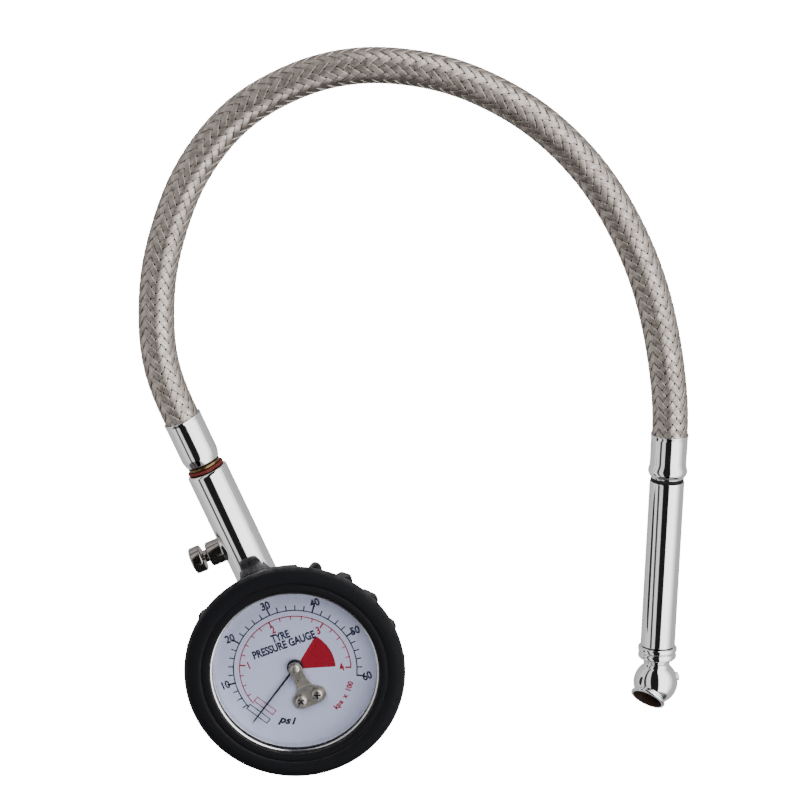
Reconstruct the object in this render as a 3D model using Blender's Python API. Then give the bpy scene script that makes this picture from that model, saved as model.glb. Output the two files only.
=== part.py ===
"""Tyre pressure gauge: a dial gauge in a rubber boot, a bleed button, a braided hose and a ball chuck.

The origin is the centre of the boot's flat back. +Z points out of the dial and +Y runs along the stem.
Lengths below are in millimetres, and MM turns them into Blender's metres where a shape is made.
Dial angles are in degrees from twelve o'clock, positive clockwise as the dial is read.
"""

import math

import bmesh
import bpy
import numpy as np
from mathutils import Matrix, Vector

MM = 0.001
GAP = 0.3
WIDE_STEPS = 42

# Boot
BOOT_RADIUS = 32.5
BOOT_HEIGHT = 26.1
BOOT_INNER_RADIUS = 27.9
BOOT_FLOOR = 2.0
BOOT_LIP_RADIUS = 24.6
NUB_HEIGHT = 2.0
NUB_HALF_ANGLE = 3.2
NUB_PITCH_ANGLE = 18.0
NUB_COUNT = 17
PAD_HALF_ANGLE = 26.5
PAD_EDGE_ANGLE = 24.0
PAD_SHARE = 0.35

# Case, lens and dial
CASE_RADIUS = 26.4
CASE_BACK_RADIUS = 23.2
CASE_WALL = 0.8
CASE_BACK = BOOT_FLOOR + GAP
CASE_RIM = 21.5
DIAL_Z = 18.6
DIAL_THICKNESS = 0.5
DIAL_RADIUS = 25.0
LENS_Z = 22.7
LENS_THICKNESS = 1.3
BEZEL_TOP = 25.0
BEZEL_RADIUS = 27.5
BEZEL_WINDOW_RADIUS = 23.9

# Pointer, bridge and its screws
POINTER_LENGTH = 22.0
POINTER_REST_ANGLE = -120.0
POINTER_Z = 19.9
HUB_RADIUS = 2.4
STAFF_RADIUS = 0.5
STAFF_HOLE = STAFF_RADIUS + GAP
BRIDGE_THICKNESS = 0.6
BRIDGE_FOOT_Z = DIAL_Z + DIAL_THICKNESS + GAP
BRIDGE_ARM_Z = 20.8
SCREW_SPACING = 5.2
SCREW_Y = -10.2
SCREW_RADIUS = 0.9
SCREW_HEAD_RADIUS = 1.65
SCREW_HEAD_HEIGHT = 1.1

# Movement
BACK_PLATE_Z = 3.9
FRONT_PLATE_Z = 15.1
PLATE_THICKNESS = 1.0
SECTOR_Z = 9.5
SECTOR_THICKNESS = 1.0
MODULE = 0.35
PINION_TEETH = 10
SECTOR_FULL_TEETH = 56
SECTOR_TEETH = 11
SECTOR_BEARING = 192.0
POINTER_SWEEP = 240.0
SECTOR_SWEEP = POINTER_SWEEP * PINION_TEETH / SECTOR_FULL_TEETH
TAIL_RADIUS = 3.2
LINK_LENGTH = 16.0
LINK_Z = 11.2
LINK_THICKNESS = 0.6
PIN_RADIUS = 0.45
PIN_HOLE = PIN_RADIUS + 0.4
PIN_TOP = 12.2
HAIRSPRING_Z = 12.8

# Bourdon tube and its socket block
BOURDON_RADIUS = 20.5
BOURDON_START = 19.3
BOURDON_END = 262.0
BOURDON_WIDTH = 2.2
BOURDON_HEIGHT = 7.0
BOURDON_WALL = 0.35
BLOCK_LOW = (-6.0, 14.5, 5.2)
BLOCK_HIGH = (6.0, 22.0, 14.8)

# Stem, bleed valve and check valve
STEM_Z = 10.0
STEM_RADIUS = 5.85
STEM_START = 26.8
STEM_END = 63.4
SPIGOT_RADIUS = 3.0
SPIGOT_START = 18.8
STEM_BORE = 1.5
VALVE_CHAMBER = 2.6
VALVE_CHAMBER_FLOOR = 46.3
SOCKET_RADIUS = 3.3
SOCKET_FLOOR = 55.6
BLEED_Y = 39.2
BLEED_BUSH_RADIUS = 3.7
BLEED_BUSH_END = 10.3
BLEED_KNOB_RADIUS = 4.0
BLEED_KNOB_START = 12.1
BLEED_KNOB_END = 15.7

# Hose and its ferrules
HOSE_RADIUS = 5.25
FERRULE_RADIUS = 5.4
FERRULE_START = 65.8
FERRULE_END = 80.5
HOSE_STRAIGHT = 5.0
HOSE_STEPS = 15

# Chuck: places along its axis, from the far ferrule's mouth
CHUCK_START = (128.0, 17.2, 6.75)
CHUCK_BEARING = 206.2
FAR_FERRULE_LENGTH = 13.2
TUBE_START = 14.3
TUBE_FLOOR = 19.2
TUBE_END = 65.2
TUBE_RADIUS = 5.15
TUBE_BORE = 4.1
BALL_CENTRE = 77.0
BALL_RADIUS = 6.6
MOUTH_ANGLE = 45.0
MOUTH_ROLL = 124.0
MOUTH_RADIUS = 4.1
MOUTH_LIP_RADIUS = 5.1
MOUTH_LIP_END = 6.1
MOUTH_FLOOR = -1.5
PLUG_DIRECTION = (0.96, -0.07, -0.28)

# The hose's middle line, laid flat on the bench once it has come down from the stem's height.
HOSE_ROUTE = (
    (0.0, FERRULE_END + GAP, STEM_Z),
    (0.2, 90.0, 9.7),
    (1.6, 99.5, 8.6),
    (5.8, 111.2, 6.9),
    (11.9, 122.5, 5.8),
    (20.0, 133.0, 5.4),
    (29.3, 142.4, 5.3),
    (40.2, 150.0, 5.3),
    (52.4, 155.3, 5.3),
    (65.5, 157.4, 5.3),
    (78.7, 156.9, 5.3),
    (91.5, 153.5, 5.3),
    (103.0, 147.6, 5.3),
    (113.1, 140.1, 5.3),
    (121.5, 131.2, 5.3),
    (128.5, 121.3, 5.3),
    (133.7, 110.9, 5.3),
    (137.5, 99.8, 5.3),
    (139.8, 88.1, 5.3),
    (140.7, 76.3, 5.3),
    (140.4, 63.9, 5.3),
    (138.7, 51.3, 5.4),
    (135.6, 38.0, 5.8),
    (131.4, 25.0, 6.5),
)

FINISHES = {
    "boot_rubber": ((0.012, 0.012, 0.014), 0.75, 0.0),
    "black_rubber": ((0.02, 0.02, 0.02), 0.6, 0.0),
    "red_rubber": ((0.55, 0.06, 0.02), 0.5, 0.0),
    "chrome": ((0.86, 0.86, 0.88), 0.08, 1.0),
    "steel": ((0.62, 0.61, 0.58), 0.28, 1.0),
    "brass": ((0.72, 0.52, 0.22), 0.3, 1.0),
    "bronze": ((0.66, 0.40, 0.22), 0.35, 1.0),
    "dark_nickel": ((0.36, 0.33, 0.31), 0.2, 1.0),
    "braid": ((0.55, 0.52, 0.50), 0.4, 0.8),
    "dial_white": ((0.47, 0.52, 0.66), 0.5, 0.0),
    "pointer_black": ((0.01, 0.01, 0.012), 0.4, 0.0),
    "clear_lens": ((0.95, 0.97, 1.0), 0.05, 0.0),
}


# ---------------------------------------------------------------- helpers


def clear_scene():
    for obj in list(bpy.data.objects):
        bpy.data.objects.remove(obj)


def material(finish):
    made = bpy.data.materials.get(finish)
    if made:
        return made
    colour, roughness, metallic = FINISHES[finish]
    made = bpy.data.materials.new(finish)
    made.use_nodes = True
    shader = made.node_tree.nodes["Principled BSDF"]
    shader.inputs["Base Color"].default_value = (*colour, 1.0)
    shader.inputs["Roughness"].default_value = roughness
    shader.inputs["Metallic"].default_value = metallic
    return made


def bearing(angle, radius=1.0):
    """The point at that radius and dial angle."""
    turn = math.radians(angle)
    return Vector((radius * math.sin(turn), radius * math.cos(turn)))


def placed(name, data, finish, parent=None, location=(0, 0, 0)):
    obj = bpy.data.objects.new(name, data)
    bpy.context.scene.collection.objects.link(obj)
    data.materials.append(material(finish))
    obj.parent = parent
    obj.location = Vector(location) * MM
    return obj


def solid_of(bm, name, finish, parent=None, location=(0, 0, 0)):
    """An object from a bmesh drawn in millimetres, with its faces turned outward."""
    bmesh.ops.scale(bm, vec=(MM, MM, MM), verts=bm.verts)
    bmesh.ops.remove_doubles(bm, verts=bm.verts, dist=1e-7)
    bmesh.ops.recalc_face_normals(bm, faces=bm.faces)
    mesh = bpy.data.meshes.new(name)
    bm.to_mesh(mesh)
    bm.free()
    mesh.shade_smooth()
    mesh.set_sharp_from_angle(angle=math.radians(35))
    return placed(name, mesh, finish, parent, location)


def axis_frame(name, location, direction, parent=None):
    """An empty whose own +Z runs along direction and whose own +Y points as far up as it can."""
    frame = bpy.data.objects.new(name, None)
    bpy.context.scene.collection.objects.link(frame)
    frame.parent = parent
    frame.rotation_mode = "QUATERNION"
    frame.rotation_quaternion = Vector(direction).to_track_quat("Z", "Y")
    frame.location = Vector(location) * MM
    return frame


def turned(name, profile, finish, parent=None, location=(0, 0, 0), steps=24):
    """A profile of (radius, height) points turned about +Z; one that leaves the axis is closed into a ring."""
    bm = bmesh.new()
    points = [bm.verts.new((radius, 0.0, height)) for radius, height in profile]
    edges = [bm.edges.new(pair) for pair in zip(points, points[1:])]
    if profile[0][0] > 0:
        edges.append(bm.edges.new((points[-1], points[0])))
    bmesh.ops.spin(
        bm,
        geom=points + edges,
        cent=(0, 0, 0),
        axis=(0, 0, 1),
        angle=2 * math.pi,
        steps=steps,
        use_merge=True,
    )
    return solid_of(bm, name, finish, parent, location)


def ring(name, inner, outer, low, high, finish, parent=None, location=(0, 0, 0), steps=24):
    profile = ((inner, low), (outer, low), (outer, high), (inner, high))
    return turned(name, profile, finish, parent, location, steps)


def rod(name, radius, low, high, finish, parent=None, location=(0, 0, 0), steps=16):
    profile = ((0, low), (radius, low), (radius, high), (0, high))
    return turned(name, profile, finish, parent, location, steps)


def plate(name, outline, low, high, finish, parent=None, location=(0, 0, 0)):
    """A flat outline in XY given a thickness."""
    bm = bmesh.new()
    face = bm.faces.new([bm.verts.new((x, y, low)) for x, y in outline])
    raised = bmesh.ops.extrude_face_region(bm, geom=[face])["geom"]
    tops = [item for item in raised if isinstance(item, bmesh.types.BMVert)]
    bmesh.ops.translate(bm, vec=(0, 0, high - low), verts=tops)
    return solid_of(bm, name, finish, parent, location)


def block(name, low, high, finish, parent=None):
    (x0, y0, z0), (x1, y1, z1) = low, high
    return plate(name, ((x0, y0), (x1, y0), (x1, y1), (x0, y1)), z0, z1, finish, parent)


def helper(obj):
    """Marks an object that only shapes others."""
    obj.hide_render = True
    obj.display_type = "WIRE"
    return obj


def combine(target, other, operation):
    modifier = target.modifiers.new(other.name, "BOOLEAN")
    modifier.operation = operation
    modifier.object = helper(other)


def cut(target, cutter):
    combine(target, cutter, "DIFFERENCE")


def join(target, other):
    combine(target, other, "UNION")


def drill(target, radius, start, end, steps=16):
    """A round hole from start to end, in the coordinates of the target's parent."""
    start, end = Vector(start), Vector(end)
    cutter = rod(f"{target.name}_hole", radius, 0, (end - start).length, "steel", target.parent, start, steps)
    cutter.rotation_mode = "QUATERNION"
    cutter.rotation_quaternion = (end - start).to_track_quat("Z", "Y")
    cut(target, cutter)


def arc(radius, first, last, steps, centre=(0, 0)):
    """Points (x, y) on an arc, its angles in degrees from +X, counter-clockwise."""
    angles = np.radians(np.linspace(first, last, steps + 1))
    return [(centre[0] + radius * math.cos(a), centre[1] + radius * math.sin(a)) for a in angles]


def wire(name, points, radius, sides_level, finish, parent=None):
    """A curve with a round section and filled caps along straight stretches between points."""
    curve = bpy.data.curves.new(name, "CURVE")
    curve.dimensions = "3D"
    curve.bevel_depth = radius * MM
    curve.bevel_resolution = sides_level
    curve.use_fill_caps = True
    spline = curve.splines.new("POLY")
    spline.points.add(len(points) - 1)
    for spot, point in zip(spline.points, points):
        spot.co = (*(Vector(point) * MM), 1.0)
    return placed(name, curve, finish, parent)


def spring(name, radius, wire_radius, low, high, turns, finish, parent):
    """A helix about its parent's +Z."""
    steps = 10 * turns
    spots = []
    for step in range(steps + 1):
        share = step / steps
        turn = 2 * math.pi * turns * share
        height = low + wire_radius + (high - low - 2 * wire_radius) * share
        spots.append((radius * math.cos(turn), radius * math.sin(turn), height))
    return wire(name, spots, wire_radius, 0, finish, parent)


# ---------------------------------------------------------------- boot, case and window


def boot_columns():
    """Dial angles of the boot's columns, with how far each stands out of the plain wall, from 0 to 1."""
    columns = [(angle, PAD_SHARE) for angle in (-PAD_EDGE_ANGLE, -16, -8, 0, 8, 16, PAD_EDGE_ANGLE)]
    columns = [(-PAD_HALF_ANGLE, 0.0), *columns, (PAD_HALF_ANGLE, 0.0)]
    for nub in range(NUB_COUNT):
        centre = (nub + 2) * NUB_PITCH_ANGLE
        for share in (-1.0, -0.55, 0.55, 1.0):
            columns.append((centre + share * NUB_HALF_ANGLE, math.sqrt(1 - share * share)))
    return columns


def boot_profile():
    """Points (radius, height, how much of a nub they carry), from the back's centre round to the inside."""
    return (
        (22.6, 0.0, 0.0),
        (24.5, 0.5, 0.0),
        (25.2, 1.8, 0.3),
        (26.6, 6.5, 1.0),
        (29.9, 16.5, 1.0),
        (30.2, 19.6, 1.0),
        (BOOT_RADIUS - 0.2, 20.9, 0.0),
        (BOOT_RADIUS, 24.2, 0.0),
        (BOOT_RADIUS - 0.9, 25.6, 0.0),
        (BOOT_RADIUS - 2.6, BOOT_HEIGHT, 0.0),
        (27.8, BOOT_HEIGHT, 0.0),
        (27.2, 25.85, 0.0),
        (25.3, 25.9, 0.0),
        (BOOT_LIP_RADIUS, BEZEL_TOP + GAP, 0.0),
        (BOOT_INNER_RADIUS, BEZEL_TOP + GAP, 0.0),
        (BOOT_INNER_RADIUS, 15.5, 0.0),
        (25.3, 6.5, 0.0),
        (23.9, BOOT_FLOOR, 0.0),
    )


def make_boot():
    bm = bmesh.new()
    rows = []
    for angle, proud in boot_columns():
        column = []
        for radius, height, share in boot_profile():
            x, y = bearing(angle, radius + share * proud * NUB_HEIGHT)
            column.append(bm.verts.new((x, y, height)))
        rows.append(column)
    back = bm.verts.new((0, 0, 0))
    floor = bm.verts.new((0, 0, BOOT_FLOOR))
    for one, two in zip(rows, rows[1:] + rows[:1]):
        bm.faces.new((back, one[0], two[0]))
        bm.faces.new((floor, one[-1], two[-1]))
        for (a, b), (c, d) in zip(zip(one, one[1:]), zip(two, two[1:])):
            bm.faces.new((a, b, d, c))
    boot = solid_of(bm, "rubber_boot", "boot_rubber")
    drill(boot, STEM_RADIUS + GAP, (0, 20, STEM_Z), (0, 40, STEM_Z), 28)


def make_case():
    """A stamped steel pan with a drafted side."""
    outside = ((CASE_BACK_RADIUS, CASE_BACK + 1.0), (24.9, 6.5), (CASE_RADIUS, 13.5), (CASE_RADIUS, CASE_RIM))
    inside = [(radius - CASE_WALL, height) for radius, height in reversed(outside[1:])]
    profile = (
        (0, CASE_BACK),
        (CASE_BACK_RADIUS - 1.0, CASE_BACK),
        *outside,
        *inside,
        (CASE_BACK_RADIUS - CASE_WALL, CASE_BACK + CASE_WALL),
        (0, CASE_BACK + CASE_WALL),
    )
    case = turned("steel_case", profile, "steel", steps=WIDE_STEPS)
    drill(case, SPIGOT_RADIUS + GAP, (0, BLOCK_HIGH[1] + GAP, STEM_Z), (0, STEM_START + 2, STEM_Z))


def make_window():
    inner, outer = CASE_RADIUS - CASE_WALL - 0.1, CASE_RADIUS - 0.05
    ring("lens_gasket", inner, outer, CASE_RIM + GAP, LENS_Z - GAP, "black_rubber", steps=WIDE_STEPS)
    rod("clear_lens", CASE_RADIUS - 0.1, LENS_Z, LENS_Z + LENS_THICKNESS, "clear_lens", steps=WIDE_STEPS)
    bezel = (
        (BEZEL_WINDOW_RADIUS, BEZEL_TOP - 0.7),
        (BEZEL_RADIUS - 0.75, BEZEL_TOP - 0.7),
        (BEZEL_RADIUS - 0.75, 18.0),
        (BEZEL_RADIUS, 18.0),
        (BEZEL_RADIUS, BEZEL_TOP - 0.5),
        (BEZEL_RADIUS - 0.5, BEZEL_TOP),
        (BEZEL_WINDOW_RADIUS + 0.3, BEZEL_TOP),
        (BEZEL_WINDOW_RADIUS, BEZEL_TOP - 0.3),
    )
    turned("bezel_ring", bezel, "chrome", steps=WIDE_STEPS)


# ---------------------------------------------------------------- dial, pointer and bridge


def screw_places():
    return [(side * SCREW_SPACING / 2, SCREW_Y) for side in (-1, 1)]


def make_dial():
    top = DIAL_Z + DIAL_THICKNESS
    dial = ring("dial_plate", 1.5, DIAL_RADIUS, DIAL_Z, top, "dial_white", steps=WIDE_STEPS)
    for x, y in screw_places():
        drill(dial, SCREW_RADIUS + GAP, (x, y, DIAL_Z - 1), (x, y, DIAL_Z + 2))


def make_pointer():
    hub = ring("pointer", STAFF_HOLE, HUB_RADIUS, 19.5, 20.5, "pointer_black", steps=24)
    needle = ((-0.5, 1.6), (0.5, 1.6), (0.42, POINTER_LENGTH - 1.2), (0.0, POINTER_LENGTH))
    needle = (*needle, (-0.42, POINTER_LENGTH - 1.2))
    arm = plate("needle", needle, POINTER_Z, POINTER_Z + 0.3, "pointer_black", hub)
    arm.rotation_euler.z = -math.radians(POINTER_REST_ANGLE)
    join(hub, arm)


def make_bridge():
    """A foot under two screws, which steps up over the hub to a round end at the dial's centre."""
    step_low, step_high = BRIDGE_FOOT_Z, BRIDGE_ARM_Z
    stations = (
        (-12.9, 3.4, step_low),
        (-12.4, 4.6, step_low),
        (-11.4, 5.25, step_low),
        (-9.2, 5.25, step_low),
        (-8.0, 4.5, step_low),
        (-7.2, 3.1, step_low),
        (-6.4, 2.3, step_low),
        (-4.2, 2.0, step_high),
        (0.0, 1.95, step_high),
        (0.9, 1.75, step_high),
        (1.5, 1.25, step_high),
        (1.9, 0.5, step_high),
    )
    bm = bmesh.new()
    sections = []
    for y, half, z in stations:
        corners = ((-half, z), (half, z), (half, z + BRIDGE_THICKNESS), (-half, z + BRIDGE_THICKNESS))
        sections.append([bm.verts.new((x, y, height)) for x, height in corners])
    for one, two in zip(sections, sections[1:]):
        for i in range(4):
            j = (i + 1) % 4
            bm.faces.new((one[i], one[j], two[j], two[i]))
    bm.faces.new(sections[0])
    bm.faces.new(sections[-1])
    bridge = solid_of(bm, "pointer_bridge", "steel")
    for x, y in screw_places():
        drill(bridge, SCREW_RADIUS + GAP, (x, y, step_low - 1), (x, y, step_low + 1.5))
    drill(bridge, 1.05, (0, 0, step_high - 1), (0, 0, step_high + 1.5))


def make_bridge_bush():
    top = BRIDGE_ARM_Z + BRIDGE_THICKNESS + GAP
    profile = (
        (0, BRIDGE_ARM_Z - 0.1),
        (0.75, BRIDGE_ARM_Z - 0.1),
        (0.75, top),
        (1.4, top),
        (1.3, top + 0.35),
        (0.8, top + 0.6),
        (0, top + 0.65),
    )
    turned("bridge_bush", profile, "steel", steps=20)


def make_bridge_screws():
    head_low = BRIDGE_FOOT_Z + BRIDGE_THICKNESS + GAP
    head_top = head_low + SCREW_HEAD_HEIGHT
    profile = (
        (0, 16.9),
        (SCREW_RADIUS, 16.9),
        (SCREW_RADIUS, head_low),
        (SCREW_HEAD_RADIUS, head_low),
        (SCREW_HEAD_RADIUS, head_top - 0.45),
        (SCREW_HEAD_RADIUS - 0.35, head_top - 0.1),
        (0, head_top),
    )
    turns = (20, 65)
    for index, ((x, y), turn) in enumerate(zip(screw_places(), turns), 1):
        screw = turned(f"bridge_screw_{index}", profile, "steel", None, (x, y, 0), 20)
        for extra in (0, 90):
            low, high = (-0.95, -0.2, head_top - 0.7), (0.95, 0.2, head_top + 1)
            slot = block(f"screw_slot_{index}_{extra}", low, high, "steel", screw)
            slot.rotation_euler.z = math.radians(turn + extra)
            cut(screw, slot)


# ---------------------------------------------------------------- movement


def toothed(pitch_radius, teeth_total, first, count, phase):
    """Points of a run of short straight-sided teeth, counter-clockwise, with angles in degrees from +X."""
    pitch = 360 / teeth_total
    root, tip = pitch_radius - 1.1 * MODULE, pitch_radius + 0.7 * MODULE
    points = []
    for tooth in range(first, first + count):
        middle = phase + tooth * pitch
        for radius, share in ((root, -0.27), (tip, -0.12), (tip, 0.12), (root, 0.27)):
            turn = math.radians(middle + share * pitch)
            points.append((radius * math.cos(turn), radius * math.sin(turn)))
    return points


def sector_pivot():
    return bearing(SECTOR_BEARING, MODULE * (PINION_TEETH + SECTOR_FULL_TEETH) / 2)


def contact_angle():
    """Direction from the sector's pivot to the pointer's staff, in degrees from +X."""
    pivot = sector_pivot()
    return math.degrees(math.atan2(-pivot.y, -pivot.x))


def tail_angle_at_rest():
    """The tail stands square to the link half-way through the sweep, so it starts half a sweep behind."""
    return contact_angle() + 144.0 - SECTOR_SWEEP / 2


def tail_pin_at_rest():
    turn = math.radians(tail_angle_at_rest())
    return sector_pivot() + TAIL_RADIUS * Vector((math.cos(turn), math.sin(turn)))


def tip_pin_at_rest():
    """Where the Bourdon tube's end holds the link: the mid-sweep place, turned back about the tube's root."""
    turn = math.radians(contact_angle() + 144.0)
    outward = Vector((math.cos(turn), math.sin(turn)))
    along = Vector((outward.y, -outward.x))
    middle = sector_pivot() + TAIL_RADIUS * outward + LINK_LENGTH * along
    root = bearing(BOURDON_START, BOURDON_RADIUS)
    return root + Matrix.Rotation(-math.radians(bourdon_sweep() / 2), 2) @ (middle - root)


def bourdon_sweep():
    """Degrees that the tube turns about its root, so that its end keeps pace with the sector's tail."""
    turn = math.radians(contact_angle() + 144.0)
    outward = Vector((math.cos(turn), math.sin(turn)))
    along = Vector((outward.y, -outward.x))
    end = sector_pivot() + TAIL_RADIUS * outward + LINK_LENGTH * along
    arm = end - bearing(BOURDON_START, BOURDON_RADIUS)
    travel = Vector((-arm.y, arm.x)).dot(-along)
    return SECTOR_SWEEP * TAIL_RADIUS / travel


def make_pinion_staff():
    staff = rod("pinion_staff", STAFF_RADIUS, 4.1, 20.4, "steel", steps=16)
    teeth = toothed(MODULE * PINION_TEETH / 2, PINION_TEETH, 0, PINION_TEETH, contact_angle() + 180)
    join(staff, plate("pinion", teeth, SECTOR_Z - 0.4, SECTOR_Z + SECTOR_THICKNESS + 0.4, "steel"))
    join(staff, rod("collet", 1.1, 12.4, 13.2, "steel", steps=16))


def make_sector():
    """A fan of teeth, a hub on its own arbor, and a tail with the link's pin."""
    pivot = sector_pivot()
    place = (pivot.x, pivot.y, 0)
    pitch = 360 / SECTOR_FULL_TEETH
    phase = contact_angle() - pitch / 2
    teeth = toothed(MODULE * SECTOR_FULL_TEETH / 2, SECTOR_FULL_TEETH, 2 - SECTOR_TEETH, SECTOR_TEETH, phase)
    first, last = (math.degrees(math.atan2(y, x)) for x, y in (teeth[0], teeth[-1]))
    fan = teeth + arc(7.6, last, first, 8)
    arbor = rod("gear_sector", 0.75, 4.1, 15.7, "brass", None, place, 16)
    top = SECTOR_Z + SECTOR_THICKNESS
    join(arbor, rod("sector_hub", 1.7, SECTOR_Z, top + 0.6, "brass", arbor))
    join(arbor, plate("sector_fan", fan, SECTOR_Z, top, "brass", arbor))
    for index, angle in enumerate((first + 2, last - 2)):
        low, high = (0, -0.6, SECTOR_Z + 0.02), (8.4, 0.6, top - 0.02)
        spoke = block(f"sector_spoke_{index}", low, high, "brass", arbor)
        spoke.rotation_euler.z = math.radians(angle)
        join(arbor, spoke)
    low, high = (0, -0.9, SECTOR_Z + 0.04), (TAIL_RADIUS + 0.9, 0.9, top - 0.04)
    tail = block("sector_tail", low, high, "brass", arbor)
    tail.rotation_euler.z = math.radians(tail_angle_at_rest())
    join(arbor, tail)
    pin = tail_pin_at_rest() - pivot
    join(arbor, rod("tail_pin", PIN_RADIUS, SECTOR_Z + 0.1, PIN_TOP, "brass", arbor, (pin.x, pin.y, 0), 12))


def make_plates():
    outline = ((-6.4, 21.2), (-6.4, -12.5), (-4.9, -14.6), (5.4, -14.6), (6.4, -13.2), (6.4, 21.2))
    back = plate("back_plate", outline, BACK_PLATE_Z, BACK_PLATE_Z + PLATE_THICKNESS, "brass")
    front_top = FRONT_PLATE_Z + PLATE_THICKNESS
    front = plate("front_plate", outline, FRONT_PLATE_Z, front_top, "brass")
    boss = ((-4.8, -12.4), (4.8, -12.4), (4.8, -8.2), (-4.8, -8.2))
    join(front, plate("dial_boss", boss, front_top - 0.5, DIAL_Z - GAP, "brass"))
    pivot = sector_pivot()
    for item in (back, front):
        low = BACK_PLATE_Z - 1 if item is back else FRONT_PLATE_Z - 1
        high = low + 2 + PLATE_THICKNESS
        drill(item, STAFF_HOLE, (0, 0, low), (0, 0, high), 16)
        drill(item, 0.75 + GAP, (pivot.x, pivot.y, low), (pivot.x, pivot.y, min(high, front_top - 0.1)), 16)
    for x, y in screw_places():
        drill(front, SCREW_RADIUS + GAP, (x, y, front_top + 0.5), (x, y, DIAL_Z + 1), 16)
    low, high = BACK_PLATE_Z + PLATE_THICKNESS + GAP, FRONT_PLATE_Z - GAP
    rod("plate_pillar", 1.3, low, high, "brass", None, (4.3, -12.6, 0), 20)


def make_hairspring():
    """A flat spiral round the staff's collet, with its outer end left free beside the stud."""
    turns, steps = 3, 42
    inner, outer, half_thick, half_high = 1.55, 3.9, 0.08, 0.4
    bm = bmesh.new()
    sections = []
    for step in range(steps + 1):
        share = step / steps
        turn = 2 * math.pi * turns * share
        middle = inner + (outer - inner) * share
        section = []
        for offset, height in ((-1, -1), (1, -1), (1, 1), (-1, 1)):
            radius = middle + offset * half_thick
            spot = (radius * math.cos(turn), radius * math.sin(turn), HAIRSPRING_Z + height * half_high)
            section.append(bm.verts.new(spot))
        sections.append(section)
    for one, two in zip(sections, sections[1:]):
        for i in range(4):
            j = (i + 1) % 4
            bm.faces.new((one[i], one[j], two[j], two[i]))
    bm.faces.new(sections[0])
    bm.faces.new(sections[-1])
    solid_of(bm, "hairspring", "bronze")
    rod("hairspring_stud", 0.5, 12.3, FRONT_PLATE_Z - GAP, "brass", None, (5.0, 0, 0), 12)


def make_bourdon():
    """A flattened tube bent to a C. Its origin is the middle of its root, where it turns as it flexes."""
    root = bearing(BOURDON_START, BOURDON_RADIUS)
    half_w, half_h = BOURDON_WIDTH / 2, BOURDON_HEIGHT / 2
    corner = 0.8
    outer = (
        (-half_w, -half_h + corner),
        (-half_w + corner, -half_h),
        (half_w - corner, -half_h),
        (half_w, -half_h + corner),
        (half_w, half_h - corner),
        (half_w - corner, half_h),
        (-half_w + corner, half_h),
        (-half_w, half_h - corner),
    )
    shrink = (1 - 2 * BOURDON_WALL / BOURDON_WIDTH, 1 - 2 * BOURDON_WALL / BOURDON_HEIGHT)
    steps = 20
    bm = bmesh.new()
    shells = []
    for scale in ((1, 1), shrink):
        sections = []
        for step in range(steps + 1):
            angle = BOURDON_START + (BOURDON_END - BOURDON_START) * step / steps
            section = []
            for across, height in outer:
                spot = bearing(angle, BOURDON_RADIUS + across * scale[0]) - root
                section.append(bm.verts.new((spot.x, spot.y, height * scale[1])))
            sections.append(section)
        for one, two in zip(sections, sections[1:]):
            for i in range(8):
                j = (i + 1) % 8
                bm.faces.new((one[i], one[j], two[j], two[i]))
        shells.append(sections)
    for end in (0, -1):
        out, inn = shells[0][end], shells[1][end]
        for i in range(8):
            j = (i + 1) % 8
            bm.faces.new((out[i], out[j], inn[j], inn[i]))
    solid_of(bm, "bourdon_tube", "bronze", None, (root.x, root.y, STEM_Z))


def make_bourdon_tip():
    """A block that closes the tube's end, with an arm inward to the link's pin."""
    start = BOURDON_END + 1.2
    pin = tip_pin_at_rest()
    cap_outline = []
    for angle, radius in ((start, 19.0), (start, 22.0), (start + 6.5, 22.0), (start + 6.5, 19.0)):
        spot = bearing(angle, radius)
        cap_outline.append((spot.x, spot.y))
    tip = plate("bourdon_tip", cap_outline, STEM_Z - 3.6, STEM_Z + 3.6, "brass")
    anchor = bearing(start + 3.2, 19.8)
    reach = anchor - pin
    arm = block("tip_arm", (-0.9, -0.9, SECTOR_Z), (reach.length, 0.9, SECTOR_Z + SECTOR_THICKNESS), "brass")
    arm.location = Vector((pin.x, pin.y, 0)) * MM
    arm.rotation_euler.z = math.atan2(reach.y, reach.x)
    join(tip, arm)
    join(tip, rod("tip_pin", PIN_RADIUS, SECTOR_Z + 0.1, PIN_TOP, "brass", None, (pin.x, pin.y, 0), 12))


def make_link():
    """A flat bar between the tip's pin and the tail's pin, drawn about the tip's pin."""
    pin = tip_pin_at_rest()
    reach = tail_pin_at_rest() - pin
    half = 1.3
    outline = arc(half, 90, 270, 8) + arc(half, -90, 90, 8, (reach.length, 0))
    link = plate("tip_link", outline, LINK_Z, LINK_Z + LINK_THICKNESS, "steel", None, (pin.x, pin.y, 0))
    link.rotation_euler.z = math.atan2(reach.y, reach.x)
    for end in (pin, tail_pin_at_rest()):
        drill(link, PIN_HOLE, (end.x, end.y, LINK_Z - 1), (end.x, end.y, LINK_Z + 2), 16)


def make_socket_block():
    body = block("socket_block", BLOCK_LOW, BLOCK_HIGH, "brass")
    drill(body, SPIGOT_RADIUS + GAP, (0, SPIGOT_START - 0.4, STEM_Z), (0, BLOCK_HIGH[1] + 1, STEM_Z), 24)
    root = bearing(BOURDON_START, BOURDON_RADIUS)
    drill(body, 1.0, (1, root.y, STEM_Z), (BLOCK_HIGH[0] + 1, root.y, STEM_Z), 16)


# ---------------------------------------------------------------- stem, bleed valve and check valve


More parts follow.
